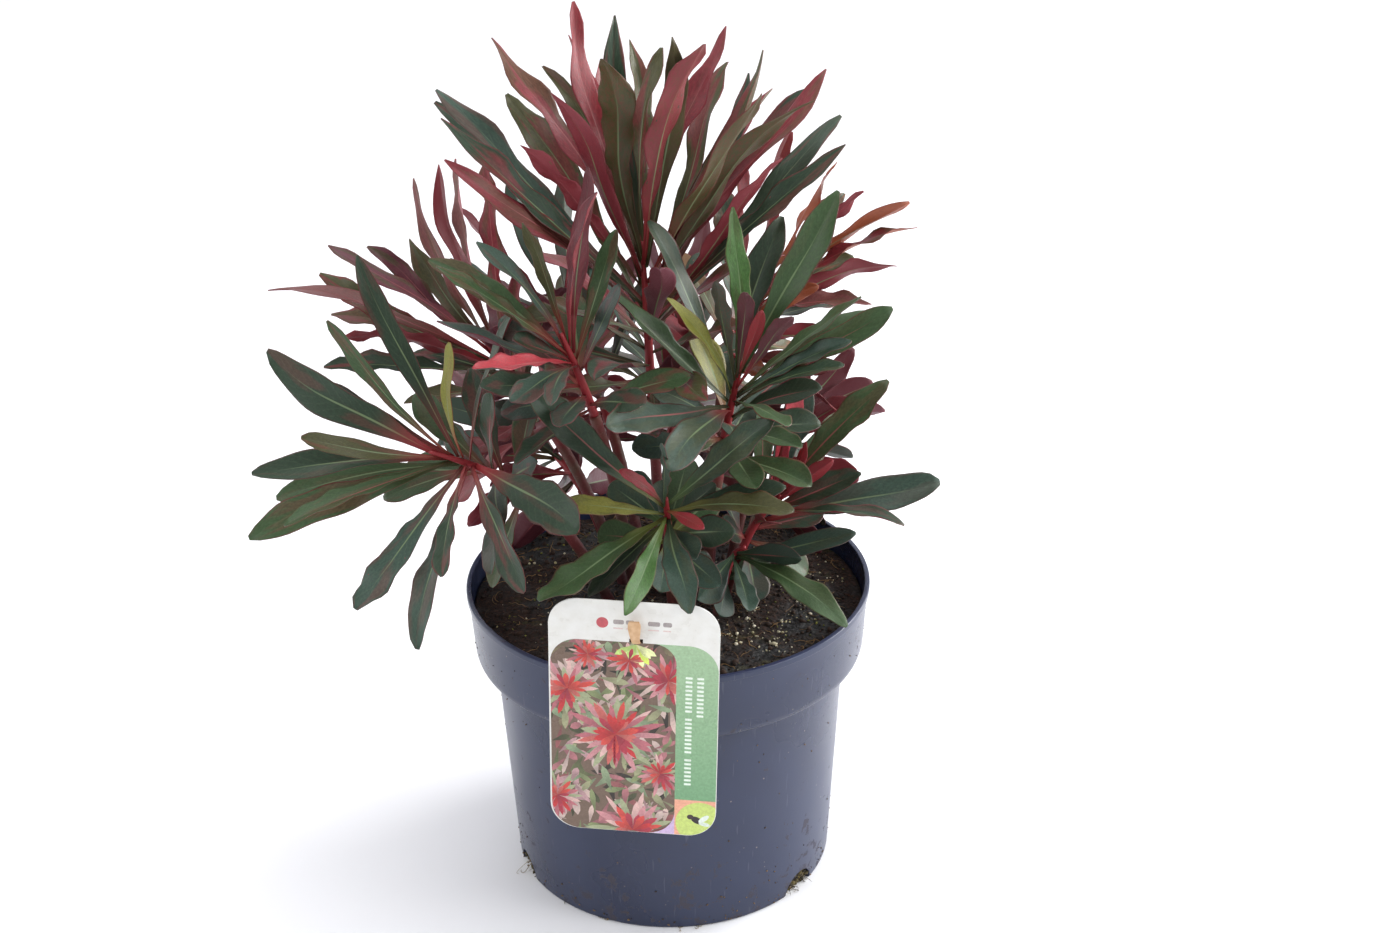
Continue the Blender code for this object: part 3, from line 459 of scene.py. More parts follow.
# Leaves with a colour of their own: clock bearing from the bud, seen from the front, and colour.
SPECIAL = {
    "top": ((44, RED_LEAF), (343, RED_LEAF), (62, DARK), (300, DARK)),
    "left_mid": ((302, GREEN), (343, OLIVE), (16, BURGUNDY), (243, CRIMSON), (186, GREY_GREEN)),
    "left_low": ((276, OLIVE), (15, YELLOW_GREEN), (243, CRIMSON), (302, DARK), (246, GREEN),
                 (207, BLUE_GREEN)),
    "right": ((358, FRESH), (18, DARK), (32, GREEN), (65, GREEN), (299, GREEN), (328, DARK),
              (311, YELLOW_GREEN), (245, GREY_GREEN), (215, GREY_GREEN)),
    "front": ((42, GREEN), (268, YELLOW_GREEN), (309, DARK), (96, OLIVE), (199, FRESH), (233, GREEN)),
    "right_low": ((43, GREEN), (9, FRESH), (5, CRIMSON), (25, CRIMSON), (55, CRIMSON), (87, BLUE_GREEN)),
    "left_back": ((292, OLIVE), (281, GREEN), (262, DARK), (285, DUSTY)),
}


def clock_of(direction):
    """The clock bearing of a direction seen from the front, in degrees clockwise from up."""
    return math.degrees(math.atan2(direction.x, direction.dot(VIEW_UP))) % 360


def colours_of(leaf, shoot, bud, rng):
    """The colours and shares that the leaf material reads, chosen for one leaf."""
    palette = PALETTES.get(shoot, BACK_PALETTE)
    upper = rng.choice(palette.upper)
    lower = rng.choice(palette.lower)
    lower_2 = rng.choice(palette.lower)
    flush_share = palette.share * rng.uniform(0.3, 1.3)
    clock = clock_of(leaf.tip - bud)
    if shoot == "top" and 110 < clock < 250:
        upper, lower = rng.choice((OLIVE, DARK)), MAUVE
    for bearing, own in SPECIAL.get(shoot, ()):
        if abs((clock - bearing + 180) % 360 - 180) < 5:
            upper = own
    near_bud = (leaf.base - bud).length < CRIMSON_REACH
    if leaf.length < CRIMSON_LENGTH and near_bud and shoot in SPECIAL:
        upper = lower = CRIMSON
    flush = OLIVE if upper in (ROSE, DUSTY, MAUVE) else palette.flush
    petiole = rng.uniform(0.35, 0.9)
    rib = RIB_PINK if rng.random() < 0.12 or upper in (CRIMSON, ROSE, DUSTY, MAUVE) else RIB_GREEN
    return dict(upper=upper, lower=lower, lower_2=lower_2, flush=flush, rib=rib,
                petiole=rng.choice(palette.feet), flush_share=flush_share, petiole_share=petiole,
                margin_share=rng.uniform(0.15, 0.65), seed=rng.random())


# ---------------------------------------------------------------- leaves and stems

COLOUR_LAYERS = ("upper", "lower", "lower_2", "flush", "rib", "petiole")
SHARE_LAYERS = ("flush_share", "petiole_share", "margin_share", "seed")
SCARS, SCAR_TURN = 26, math.radians(137.5)


def half_width(t, width, pointed, widest):
    """Half the width of a spoon-shaped leaf at a share t of its length, widest at another share."""
    if t < widest:
        share = t / widest
        return width / 2 * (PETIOLE_SHARE + (1 - PETIOLE_SHARE) * share * share * (3 - 2 * share))
    from_widest = (t - widest) / (1 - widest)
    round_end = math.sqrt(max(0.0, 1 - from_widest**2))
    point_end = max(0.0, 1 - from_widest**1.7) ** 1.05
    return width / 2 * (round_end + (point_end - round_end) * min(1.0, pointed))


def add_leaf(bm, leaf, colours, rng, pointed, wild):
    """One fine leaf: arched, a little twisted, wavy at the margin, grooved above and ribbed below.

    wild is how far it strays from an even shape.
    """
    floats, vectors = bm.verts.layers.float, bm.verts.layers.float_vector
    # A leaf that is nearly edge-on to the view is rolled a little towards it.
    facing = leaf.over.dot(VIEW_TOWARDS)
    leaf_over = leaf.over
    if abs(facing) < 0.4:
        leaf_over = leaf.over + VIEW_TOWARDS * math.copysign(0.5, facing)
        leaf_over = (leaf_over - leaf.along * leaf_over.dot(leaf.along)).normalized()
    leaf_right = leaf_over.cross(leaf.along)
    wild *= min(1.0, leaf.length / EVEN_LENGTH) ** 2
    sway = rng.uniform(-0.025, 0.025) * leaf.length * wild
    bow = rng.uniform(-0.035, 0.035) * leaf.length * wild
    hook = rng.uniform(-0.05, 0.05) * leaf.length * wild
    twist = math.radians(rng.uniform(-26, 26)) * wild
    wave, beats, phase = rng.uniform(0.6, 1.5) * MM * wild, rng.uniform(1.8, 4.2), rng.random()
    fold = rng.choice((0.1, 0.2, 0.26, 0.42))
    droop = rng.uniform(-0.015, 0.02) * leaf.length * wild
    widest = rng.uniform(0.64, 0.81)
    width = leaf.width * (1.09 - 0.11 * wild) * rng.uniform(0.88, 1.05)
    rings = []
    for row in range(LEAF_ROWS + 1):
        t = (row / LEAF_ROWS) ** 0.85 * 0.995
        centre = leaf.base.lerp(leaf.tip, t) - leaf.along * 0.4 * MM * (1 - t)
        centre += leaf_over * (leaf.arch * 4 * t * (1 - t) - droop * max(0.0, t - 0.7) * 4)
        centre += leaf_right * (sway * math.sin(2 * math.pi * t) * t + bow * math.sin(math.pi * t))
        centre += leaf_right * hook * max(0.0, t - 0.6) ** 2 * 4
        turn = twist * max(0.0, t - 0.2)
        right = leaf_right * math.cos(turn) + leaf_over * math.sin(turn)
        over = leaf_over * math.cos(turn) - leaf_right * math.sin(turn)
        full = max(half_width(t, width, pointed, widest), 0.12 * MM)
        crimp = 0.08 * wild * min(1.0, 3 * t)
        halves = [full * (1 + crimp * math.sin(2 * math.pi * (beats * pace * t + turns * phase)))
                  for pace, turns in ((1.5, 2), (1.2, 5))]
        top, bottom = [], []
        for u in LEAF_ACROSS:
            away = abs(u)
            half = halves[u > 0]
            ripple = wave * away**2 * min(1.0, half / (4 * MM))
            ripple *= math.sin(2 * math.pi * (beats * t + phase + (0.22 if u > 0 else 0)))
            lift = fold * half * away**1.4 + ripple - (0.14 * MM if away < 0.1 else 0)
            rib = max(0.0, 1 - away / 0.2) * (0.55 - 0.4 * t) * MM
            thick = LEAF_MIDRIB_THICKNESS + (LEAF_EDGE_THICKNESS - LEAF_MIDRIB_THICKNESS) * away**0.6
            thick = min(thick + rib, 2 * half)
            point = centre + right * u * half + over * lift
            top.append((point + over * thick / 2, u, 0.0))
            bottom.append((point - over * thick / 2, u, 1.0))
        ring = []
        for point, u, under in top + bottom[::-1]:
            vert = bm.verts.new(point)
            vert[floats["along"]] = t
            vert[floats["across"]] = u
            vert[floats["under"]] = under
            for layer in SHARE_LAYERS:
                vert[floats[layer]] = colours[layer]
            for layer in COLOUR_LAYERS:
                vert[vectors[layer]] = colours[layer]
            ring.append(vert)
        rings.append(ring)
    skin(bm, rings, -1)


def smooth_line(points, spacing):
    """Points along a smooth curve through the given ones (Catmull-Rom)."""
    ends = [points[0] * 2 - points[1], *points, points[-1] * 2 - points[-2]]
    line = []
    for a, b, c, d in zip(ends, ends[1:], ends[2:], ends[3:]):
        count = max(2, round((c - b).length / spacing))
        for i in range(count):
            t = i / count
            line.append(0.5 * (2 * b + (c - a) * t + (2 * a - 5 * b + 4 * c - d) * t**2
                               + (3 * b - a - 3 * c + d) * t**3))
    return line + [points[-1].copy()]


def add_tube(bm, line, radius_at, sides, layers=()):
    """A closed tube along a line; radius_at takes the share of the way and the angle."""
    rings = []
    side = Vector((1, 0, 0)) if abs((line[-1] - line[0]).normalized().x) < 0.7 else Vector((0, 1, 0))
    for i, centre in enumerate(line):
        along = (line[min(i + 1, len(line) - 1)] - line[max(i - 1, 0)]).normalized()
        side = (side - along * side.dot(along)).normalized()
        other = along.cross(side)
        ring = []
        for k in range(sides):
            angle = 2 * math.pi * k / sides
            radius = radius_at(i / (len(line) - 1), angle)
            outward = side * math.cos(angle) + other * math.sin(angle)
            vert = bm.verts.new(centre + outward * radius)
            for layer in layers:
                vert[layer] = i / (len(line) - 1)
            ring.append(vert)
        rings.append(ring)
    skin(bm, rings)


def stem_radius(radius, rng):
    """The radius of a stem that bears the half-moon scars of fallen leaves."""
    turn = rng.uniform(0, 6.28)

    def at(share, angle):
        scar = round(share * SCARS)
        facing = math.cos(angle - turn - SCAR_TURN * scar)
        near = max(0.0, 1 - abs(share * SCARS - scar) * 3)
        swell = 0.10 * near * max(0.0, facing) ** 3
        return radius * (1 + swell + 0.03 * math.sin(5 * angle + 9 * share))

    return at


def make_shoot(shoot, looks):
    """The bare stem and the leafy tip of one shoot, as two pieces."""
    leaf_material, stem_material = looks
    rng = random.Random("shoot " + shoot)
    stem = read_stem("stem_" + shoot)
    leaves, axis_points = read_leafy_tip("leafy_tip_" + shoot)
    foot = stem[-1][0]
    bud, middle = centre_line(axis_points, foot)

    bm = bmesh.new()
    share = bm.verts.layers.float.new("along")
    line = smooth_line([centre for centre, _ in stem], 1.6 * MM)
    add_tube(bm, line, stem_radius(stem[-1][1] * 1.02, rng), 16, (share,))
    piece("stem_fine_" + shoot, bm, stem_material, "stem_bark", "stem_" + shoot)

    bm = bmesh.new()
    for layer in ("along", "across", "under", *SHARE_LAYERS):
        bm.verts.layers.float.new(layer)
    for layer in COLOUR_LAYERS:
        bm.verts.layers.float_vector.new(layer)
    axis = smooth_line([foot, *middle, bud], 2 * MM)
    add_tube(bm, axis, lambda share, angle: 2.1 * MM - 1.3 * MM * share**2, 10)
    floats, vectors = bm.verts.layers.float, bm.verts.layers.float_vector
    # The axis takes the leaves' material, in one red.
    for vert in bm.verts:
        vert[floats["along"]] = 0.5
        vert[floats["across"]] = 0.4
        for layer in COLOUR_LAYERS:
            vert[vectors[layer]] = AXIS_RED
    ragged = shoot in ("top", "back_right", "left_back")
    for leaf in leaves:
        pointed = rng.uniform(0.1, 1.0) if ragged else rng.uniform(0.0, 0.5)
        colours = colours_of(leaf, shoot, bud, rng)
        add_leaf(bm, leaf, colours, rng, pointed, 1.6 if ragged else 1.0)
    piece("leaves_" + shoot, bm, leaf_material, "leaf", "leafy_tip_" + shoot)


def make_plant():
    looks = leaf_look(), stem_look()
    for node in NODES:
        if node.startswith("leafy_tip_"):
            make_shoot(node.removeprefix("leafy_tip_"), looks)


# ---------------------------------------------------------------- pot

RIM_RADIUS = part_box("pot")[1][0]
POT_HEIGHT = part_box("pot")[1][2]
COLLAR_RADIUS = RIM_RADIUS - 2.8 * MM
COLLAR_FOOT = POT_HEIGHT - 35 * MM
WALL_TOP_RADIUS = 83.1 * MM
BASE_RADIUS = 76.5 * MM
WALL = 1.5 * MM
FLOOR = 2 * MM
FOOT_LIFT = 0.6 * MM  # the underside's middle stands this far over its outer ring
RIM_BEAD = 0.9 * MM  # how far the rim stands out from the collar
NOTCH_BEARINGS = (-39, -159, 81)
NOTCH_RADIUS = 10 * MM
DRAIN_HOLES = 6
DRAIN_CIRCLE = 46 * MM
DRAIN_RADIUS = 4 * MM
POT_STEPS = 192
POT_DARK, POT_LIGHT = srgb(32, 40, 66), srgb(40, 49, 77)


def rounded(corners):
    """A profile of (radius, height, rounding): each corner becomes an arc of its rounding."""
    points = []
    for i, (radius, height, rounding) in enumerate(corners):
        here = Vector((radius, height))
        if rounding == 0 or i in (0, len(corners) - 1):
            points.append(here)
            continue
        before = (Vector(corners[i - 1][:2]) - here).normalized()
        after = (Vector(corners[i + 1][:2]) - here).normalized()
        for k in range(7):
            t = k / 6
            start, end = here + before * rounding, here + after * rounding
            points.append(start * (1 - t) ** 2 + here * 2 * t * (1 - t) + end * t * t)
    return points


def turned(profile, steps, wobble=None):
    """A solid of revolution about Z from (radius, height) points that start and end on the axis."""
    bm = bmesh.new()
    rings = []
    for radius, height in profile:
        if radius == 0:
            rings.append([bm.verts.new((0, 0, height))])
            continue
        ring = []
        for i in range(steps):
            turn = 2 * math.pi * i / steps
            point = around(turn, radius, height)
            ring.append(bm.verts.new(point + wobble(point) if wobble else point))
        rings.append(ring)
    for first, second in zip(rings, rings[1:]):
        bridge(bm, first, second)
    return bm


def add_cylinder(bm, start, end, radius, sides):
    along = end - start
    turn = along.to_track_quat("Z", "Y").to_matrix().to_4x4()
    bmesh.ops.create_cone(bm, cap_ends=True, segments=sides, radius1=radius, radius2=radius,
                          depth=along.length, matrix=Matrix.Translation((start + end) / 2) @ turn)


def cut_away(body, cutter):
    """Takes the cutter out of the body's mesh for good."""
    modifier = body.modifiers.new("cut", "BOOLEAN")
    modifier.operation = "DIFFERENCE"
    modifier.object = cutter
    graph = bpy.context.evaluated_depsgraph_get()
    mesh = bpy.data.meshes.new_from_object(body.evaluated_get(graph))
    body.modifiers.clear()
    body.data = mesh
    bpy.data.objects.remove(cutter)


def pot_look():
    """Slate-blue moulded plastic: soft sheen, fine scratches, dried splashes and dust."""
    look = Look("slate_plastic", 0.36)
    where = look.place()
    broad = look.noise(14.0, where, 3.0)
    base = look.mix(look.ramp(broad, 0.3, 0.7), POT_DARK, POT_LIGHT)
    stretched = look.node("Mapping", {"Vector": where, "Scale": (1, 1, 0.08)})
    scratches = look.noise(520.0, stretched, 2.0)
    scratch = look.ramp(scratches, 0.66, 0.74)
    base = look.mix(look.times(scratch, 0.10), base, srgb(150, 150, 165))
    splash_shape = look.noise(120.0, where, 5.0, 0.7)
    height = look.node("SeparateXYZ", {0: where}, "Z")
    low = look.ramp(height, 0.06, 0.0, 0.0, 0.09)
    splash = look.ramp(look.plus(splash_shape, low), 0.64, 0.68)
    base = look.mix(look.times(splash, 0.5), base, srgb(66, 56, 54))
    specks = look.ramp(look.voronoi(260.0, where), 0.13, 0.07)
    chosen = look.ramp(look.noise(90.0, where, 1.0), 0.6, 0.66)
    speck = look.times(specks, chosen)
    base = look.mix(look.times(speck, 0.6), base, srgb(150, 138, 128))
    rough = look.ramp(broad, 0.3, 0.7, 0.25, 0.34)
    rough = look.plus(rough, look.times(splash, 0.3))
    rough = look.plus(rough, look.times(scratch, 0.1))
    grain = look.noise(1500.0, where, 2.0)
    relief = look.plus(look.times(grain, 0.25), look.times(splash, 0.6))
    return look.surface(base, rough, relief, 0.1 * MM, 0.5)


def make_pot():
    """The pot: turned from one profile, then cut by the drain notches and holes."""
    rim = POT_HEIGHT - 3 * MM
    collar_top = RIM_RADIUS - RIM_BEAD
    shoulder = COLLAR_FOOT + 4 * MM
    corners = [
        (0, FOOT_LIFT, 0), (BASE_RADIUS - 6 * MM, FOOT_LIFT, 0.4 * MM),
        (BASE_RADIUS - 5 * MM, 0, 0.5 * MM), (BASE_RADIUS, 0, 1.4 * MM),
        (WALL_TOP_RADIUS, COLLAR_FOOT, 0.8 * MM),
        (COLLAR_RADIUS - 1.5 * MM, COLLAR_FOOT + 1.2 * MM, 2.2 * MM), (COLLAR_RADIUS, shoulder, 1.8 * MM),
        (collar_top, rim - 0.3 * MM, 0.3 * MM), (RIM_RADIUS, rim, 0.35 * MM),
        (RIM_RADIUS, POT_HEIGHT, 0.75 * MM), (collar_top - WALL, POT_HEIGHT, 0.6 * MM),
        (collar_top - WALL, rim, 0.3 * MM), (COLLAR_RADIUS - WALL, shoulder + WALL, 1.5 * MM),
        (WALL_TOP_RADIUS - WALL, COLLAR_FOOT + WALL, 1.5 * MM), (BASE_RADIUS - WALL, FLOOR, 1.0 * MM),
        (0, FLOOR, 0),
    ]
    profile = rounded(corners)
    fine = []
    for first, second in zip(profile, profile[1:]):
        count = max(1, round((second - first).length / (9 * MM))) if first.x > 0.02 else 1
        fine += [first.lerp(second, i / count) for i in range(count)]
    bm = turned(fine + [profile[-1]], POT_STEPS)
    pot = piece("pot_shell", bm, pot_look(), "pot_plastic", "pot")
    cutters = bmesh.new()
    for bearing in NOTCH_BEARINGS:
        outward = around(math.radians(bearing))
        start, end = outward * (BASE_RADIUS - 9 * MM), outward * (BASE_RADIUS + 15 * MM)
        add_cylinder(cutters, start, end, NOTCH_RADIUS, 40)
    for i in range(DRAIN_HOLES):
        turn = 2 * math.pi * i / DRAIN_HOLES
        centre = around(turn) * DRAIN_CIRCLE
        up = Vector((0, 0, FLOOR))
        add_cylinder(cutters, centre - up, centre + 2 * up, DRAIN_RADIUS, 24)
    cut_away(pot, object_from("cutters", cutters))
    pot.data.shade_smooth()
    pot.data.set_sharp_from_angle(angle=math.radians(38))


# ---------------------------------------------------------------- soil

SOIL_TOP = POT_HEIGHT - 10 * MM
SOIL_RADIUS = 91.2 * MM
SOIL_GAP = 0.4 * MM  # to the wall and the floor
SOIL_RINGS, SOIL_STEPS = 84, 256
CRUMBS, PERLITE_BITS, FIBRES, MOSS_FLECKS = 1500, 460, 420, 340
WALL_SPECKS, COLLAR_SPECKS = 320, 120


def soil_shape(point):
    """How far the soil's surface stands over its mean level, in metres."""
    flat = Vector((point.x, point.y, 0))
    lumps = noise.fractal(flat * 75, 0.9, 2.1, 4) * 1.1 * MM
    grit = noise.fractal(flat * 420, 0.8, 2.2, 3) * 0.55 * MM
    broad = 1.0 * MM * noise.noise(flat * 28 + Vector((3, 7, 0)))
    edge = max(0.0, math.hypot(point.x, point.y) / SOIL_RADIUS - 0.9) * 10
    return broad + lumps + grit - edge * 1.2 * MM


def soil_look():
    """Peat: dark brown fibres, near-black damp patches and an olive film of algae, with painted shade in
    the gaps between the clods.
    """
    look = Look("potting_soil", 0.9)
    where = look.place()
    broad = look.noise(32.0, where, 3.0)
    grain = look.noise(700.0, where, 5.0, 0.7)
    clod = look.voronoi(420.0, where)
    dry = look.mix(look.ramp(grain, 0.35, 0.7), srgb(18, 11, 8), srgb(78, 48, 32))
    damp = look.mix(look.ramp(grain, 0.4, 0.75), srgb(12, 13, 16), srgb(38, 39, 38))
    both = look.mix(look.ramp(broad, 0.44, 0.58), dry, damp)
    algae = look.ramp(look.noise(60.0, where, 4.0), 0.58, 0.68)
    both = look.mix(look.times(algae, 0.45), both, srgb(86, 84, 40))
    # Painted shade: darker in the gaps between the clods, where the relief is low, and a little lighter
    # on their tops.
    painted_gap_shade = look.ramp(clod, 0.0, 0.5, 1.1, 0.55)
    both = look.shaded(both, painted_gap_shade)
    relief = look.math("SUBTRACT", grain, clod)
    return look.surface(both, look.ramp(broad, 0.44, 0.58, 0.95, 0.6), relief, 1.0 * MM, 0.9)


def bits_look(name, first, second, rough):
    """Small loose bits, each a little different in colour."""
    look = Look(name, rough)
    own = look.attribute("seed")
    grain = look.noise(1800.0, None, 3.0)
    mixed = look.mix(own, first, second)
    shade = look.ramp(grain, 0.3, 0.7, 0.75, 1.15)
    roughness = look.ramp(grain, 0.3, 0.7, rough - 0.08, rough + 0.05)
    return look.surface(look.shaded(mixed, shade), roughness, grain, 0.2 * MM, 0.6)


def bits_piece(name, bits, look_name, first, second, rough):
    """Loose bits as one piece, coloured between two sRGB colours."""
    piece(name, bits, bits_look(look_name, srgb(*first), srgb(*second), rough), "peat")


def bits_builder():
    """An empty mesh whose bits each carry a seed."""
    bm = bmesh.new()
    bm.verts.layers.float.new("seed")
    return bm


def add_bit(bm, place, size, rng, flat):
    """An irregular lump; flat is its height's share of its width."""
    turn = Matrix.Rotation(rng.uniform(0, 6.28), 4, Vector((rng.random() - 0.5, rng.random() - 0.5, 1)))
    sides = (rng.uniform(0.7, 1.4), rng.uniform(0.6, 1), flat * rng.uniform(0.7, 1.1))
    stretch = Matrix.Diagonal((*sides, 1))
    made = bmesh.ops.create_icosphere(bm, subdivisions=1, radius=size / 2)["verts"]
    layer = bm.verts.layers.float["seed"]
    own = rng.random()
    shift = Vector((rng.uniform(-9, 9), rng.uniform(-9, 9), rng.uniform(-9, 9)))
    for vert in made:
        vert.co *= 1 + 0.45 * noise.noise(vert.co / size * 2.3 + shift)
        vert.co = place + turn @ stretch @ vert.co
        vert.co.z = max(vert.co.z, 0.05 * MM)
        vert[layer] = own


def add_strand(bm, line, radius, rng, sides=5):
    """A thin curled strand."""
    layer = bm.verts.layers.float["seed"]
    before = len(bm.verts)
    add_tube(bm, line, lambda share, angle: radius * (1 - 0.6 * share**3), sides)
    bm.verts.ensure_lookup_table()
    own = rng.random()
    for vert in bm.verts[before:]:
        vert[layer] = own


def curl(start, heading, length, rng, bend, lift, steps=12, floor=None):
    """A wandering line from a start; lift is how fast it rises."""
    line = [start.copy()]
    turn = math.atan2(heading.y, heading.x)
    spin = rng.uniform(-bend, bend)
    for _ in range(steps):
        spin = max(-bend, min(bend, spin + rng.uniform(-bend, bend) * 0.6))
        turn += spin
        ahead = Vector((math.cos(turn), math.sin(turn), lift + rng.uniform(-0.15, 0.15)))
        point = line[-1] + ahead * (length / steps)
        if floor is not None:
            point.z = max(point.z, floor)
        line.append(point)
    return line


def on_soil(rng, inner=0.0, outer=0.97):
    """A random place on top of the soil."""
    radius = SOIL_RADIUS * math.sqrt(rng.uniform(inner**2, outer**2))
    turn = rng.uniform(0, 2 * math.pi)
    point = around(turn, radius)
    return point + Vector((0, 0, SOIL_TOP + soil_shape(point)))


def make_soil():
    """The soil with its crumbs, perlite, peat fibres and moss."""
    inside = WALL + SOIL_GAP
    wall = [
        (BASE_RADIUS - inside, FLOOR + SOIL_GAP), (WALL_TOP_RADIUS - inside, COLLAR_FOOT),
        (COLLAR_RADIUS - WALL - 1 * MM, COLLAR_FOOT + 8 * MM),
        (SOIL_RADIUS + 0.4 * MM, SOIL_TOP - 2.2 * MM),
    ]
    top = [(SOIL_RADIUS * (SOIL_RINGS - i) / SOIL_RINGS, SOIL_TOP) for i in range(SOIL_RINGS + 1)]
    profile = [(0, wall[0][1])] + wall + top

    def wobble(point):
        on_top = point.z >= SOIL_TOP - 0.1 * MM
        return Vector((0, 0, soil_shape(point))) if on_top else Vector()

    bm = turned(profile, SOIL_STEPS, wobble)
    piece("soil_fill", bm, soil_look(), "peat", "soil")

    rng = random.Random("crumbs")
    crumbs = bits_builder()
    for _ in range(CRUMBS):
        size = rng.uniform(0.8, 2.0) * MM * (1 if rng.random() < 0.85 else 2)
        add_bit(crumbs, on_soil(rng) + Vector((0, 0, 0.1 * size)), size, rng, 0.8)
    bits_piece("soil_crumbs", crumbs, "crumb", (16, 11, 9), (58, 39, 28), 0.9)

    perlite = bits_builder()
    for _ in range(PERLITE_BITS):
        place = on_soil(rng)
        if rng.random() < 0.65:
            turn = rng.gauss(-0.5, 0.7)
            radius = rng.uniform(0.45, 0.96) * SOIL_RADIUS
            place = around(turn, radius)
            place.z = SOIL_TOP + soil_shape(place)
        if noise.noise(place * 90) < -0.08:
            continue
        size = rng.uniform(0.5, 1.3) * MM * (1 if rng.random() < 0.85 else 1.9)
        add_bit(perlite, place + Vector((0, 0, 0.25 * size)), size, rng, 0.8)
    bits_piece("perlite_bits", perlite, "perlite", (176, 168, 122), (226, 218, 196), 0.75)

    fibres = bits_builder()
    for _ in range(FIBRES):
        start = on_soil(rng) + Vector((0, 0, 0.3 * MM))
        turn = rng.uniform(0, 6.28)
        line = curl(start, around(turn), rng.uniform(3, 12) * MM, rng, 0.22, 0.04)
        if all(math.hypot(point.x, point.y) < SOIL_RADIUS for point in line):
            for point in line:
                point.z = SOIL_TOP + soil_shape(point) + rng.uniform(0.1, 0.7) * MM
            add_strand(fibres, smooth_line(line[::2], 1 * MM), rng.uniform(0.1, 0.22) * MM, rng)
    bits_piece("peat_fibres", fibres, "fibre", (50, 32, 22), (150, 118, 76), 0.8)

    moss = bits_builder()
    for _ in range(MOSS_FLECKS):
        place = on_soil(rng, 0.55, 0.98)
        if noise.noise(place * 45) > 0.0:
            add_bit(moss, place + Vector((0, 0, 0.2 * MM)), rng.uniform(0.7, 1.8) * MM, rng, 0.6)
    bits_piece("moss_flecks", moss, "moss", (70, 72, 30), (128, 128, 58), 0.85)


# ---------------------------------------------------------------- roots and dirt on the pot

NOTCH_CRUMBS, NOTCH_HAIRS = 150, 16
# Roots under the foot: bearing, length in mm and how many.
FOOT_ROOTS = ((-118, 15, 3), (-88, 8, 4), (-76, 7, 3), (-84, 10, 2), (-136, 5, 2), (150, 9, 3),
              (40, 8, 3), (-20, 6, 2))


def wall_radius(height):
    """The pot's outer radius under the collar."""
    return BASE_RADIUS + (WALL_TOP_RADIUS - BASE_RADIUS) * height / COLLAR_FOOT


def make_roots_and_dirt():
    """Root hairs and soil at the drain notches and under the foot, and crumbs stuck to the outside."""
    rng = random.Random("roots")
    plugs = bits_builder()
    hairs = bits_builder()
    for bearing in NOTCH_BEARINGS:
        for _ in range(NOTCH_CRUMBS):
            turn = math.radians(bearing + rng.uniform(-8, 8))
            height = rng.uniform(0.5, 9.5) * MM
            if math.hypot(height, (turn - math.radians(bearing)) * BASE_RADIUS) > NOTCH_RADIUS:
                continue
            radius = BASE_RADIUS - rng.uniform(1.5, 6) * MM
            place = around(turn, radius, height)
            add_bit(plugs, place, rng.uniform(1.5, 4) * MM, rng, 0.9)
        for _ in range(NOTCH_HAIRS):
            turn = math.radians(bearing + rng.uniform(-7, 7))
            outward = around(turn)
            start = outward * (BASE_RADIUS - 3 * MM) + Vector((0, 0, rng.uniform(3, 8) * MM))
            line = curl(start, outward, rng.uniform(5, 13) * MM, rng, 0.7, -0.7, 14, 0.25 * MM)
            add_strand(hairs, smooth_line(line[::2], 0.8 * MM), rng.uniform(0.1, 0.2) * MM, rng)
    for bearing, length, count in FOOT_ROOTS:
        for _ in range(count):
            turn = math.radians(bearing + rng.uniform(-2, 2))
            outward = around(turn)
            start = outward * (BASE_RADIUS - 1 * MM) + Vector((0, 0, 0.35 * MM))
            reach = length * rng.uniform(0.7, 1.2) * MM
            line = curl(start, outward, reach, rng, 1.0, 0.02, 18, 0.25 * MM)
            add_strand(hairs, smooth_line(line[::2], 0.6 * MM), rng.uniform(0.1, 0.17) * MM, rng)
    bits_piece("soil_in_notches", plugs, "notch_soil", (34, 28, 16), (96, 84, 44), 0.9)
    bits_piece("root_hairs", hairs, "root_hair", (40, 30, 24), (150, 132, 96), 0.7)

    specks = bits_builder()
    for _ in range(WALL_SPECKS):
        turn = rng.uniform(0, 2 * math.pi)
        height = rng.choice((rng.uniform(1, 25), rng.uniform(1, 110), rng.uniform(1, 6))) * MM
        radius = wall_radius(height)
        place = around(turn, radius, height)
        add_bit(specks, place, rng.uniform(0.3, 1.4) * MM, rng, 0.8)
    for _ in range(COLLAR_SPECKS):
        turn = rng.uniform(0, 2 * math.pi)
        height = POT_HEIGHT - rng.uniform(4, 30) * MM
        share = (height - COLLAR_FOOT) / (POT_HEIGHT - COLLAR_FOOT)
        radius = COLLAR_RADIUS + (RIM_RADIUS - RIM_BEAD - COLLAR_RADIUS) * share
        place = around(turn, radius, height)
        add_bit(specks, place, rng.uniform(0.3, 0.9) * MM, rng, 0.8)
    bits_piece("dirt_specks", specks, "dirt", (36, 28, 22), (120, 98, 74), 0.9)


# ---------------------------------------------------------------- label

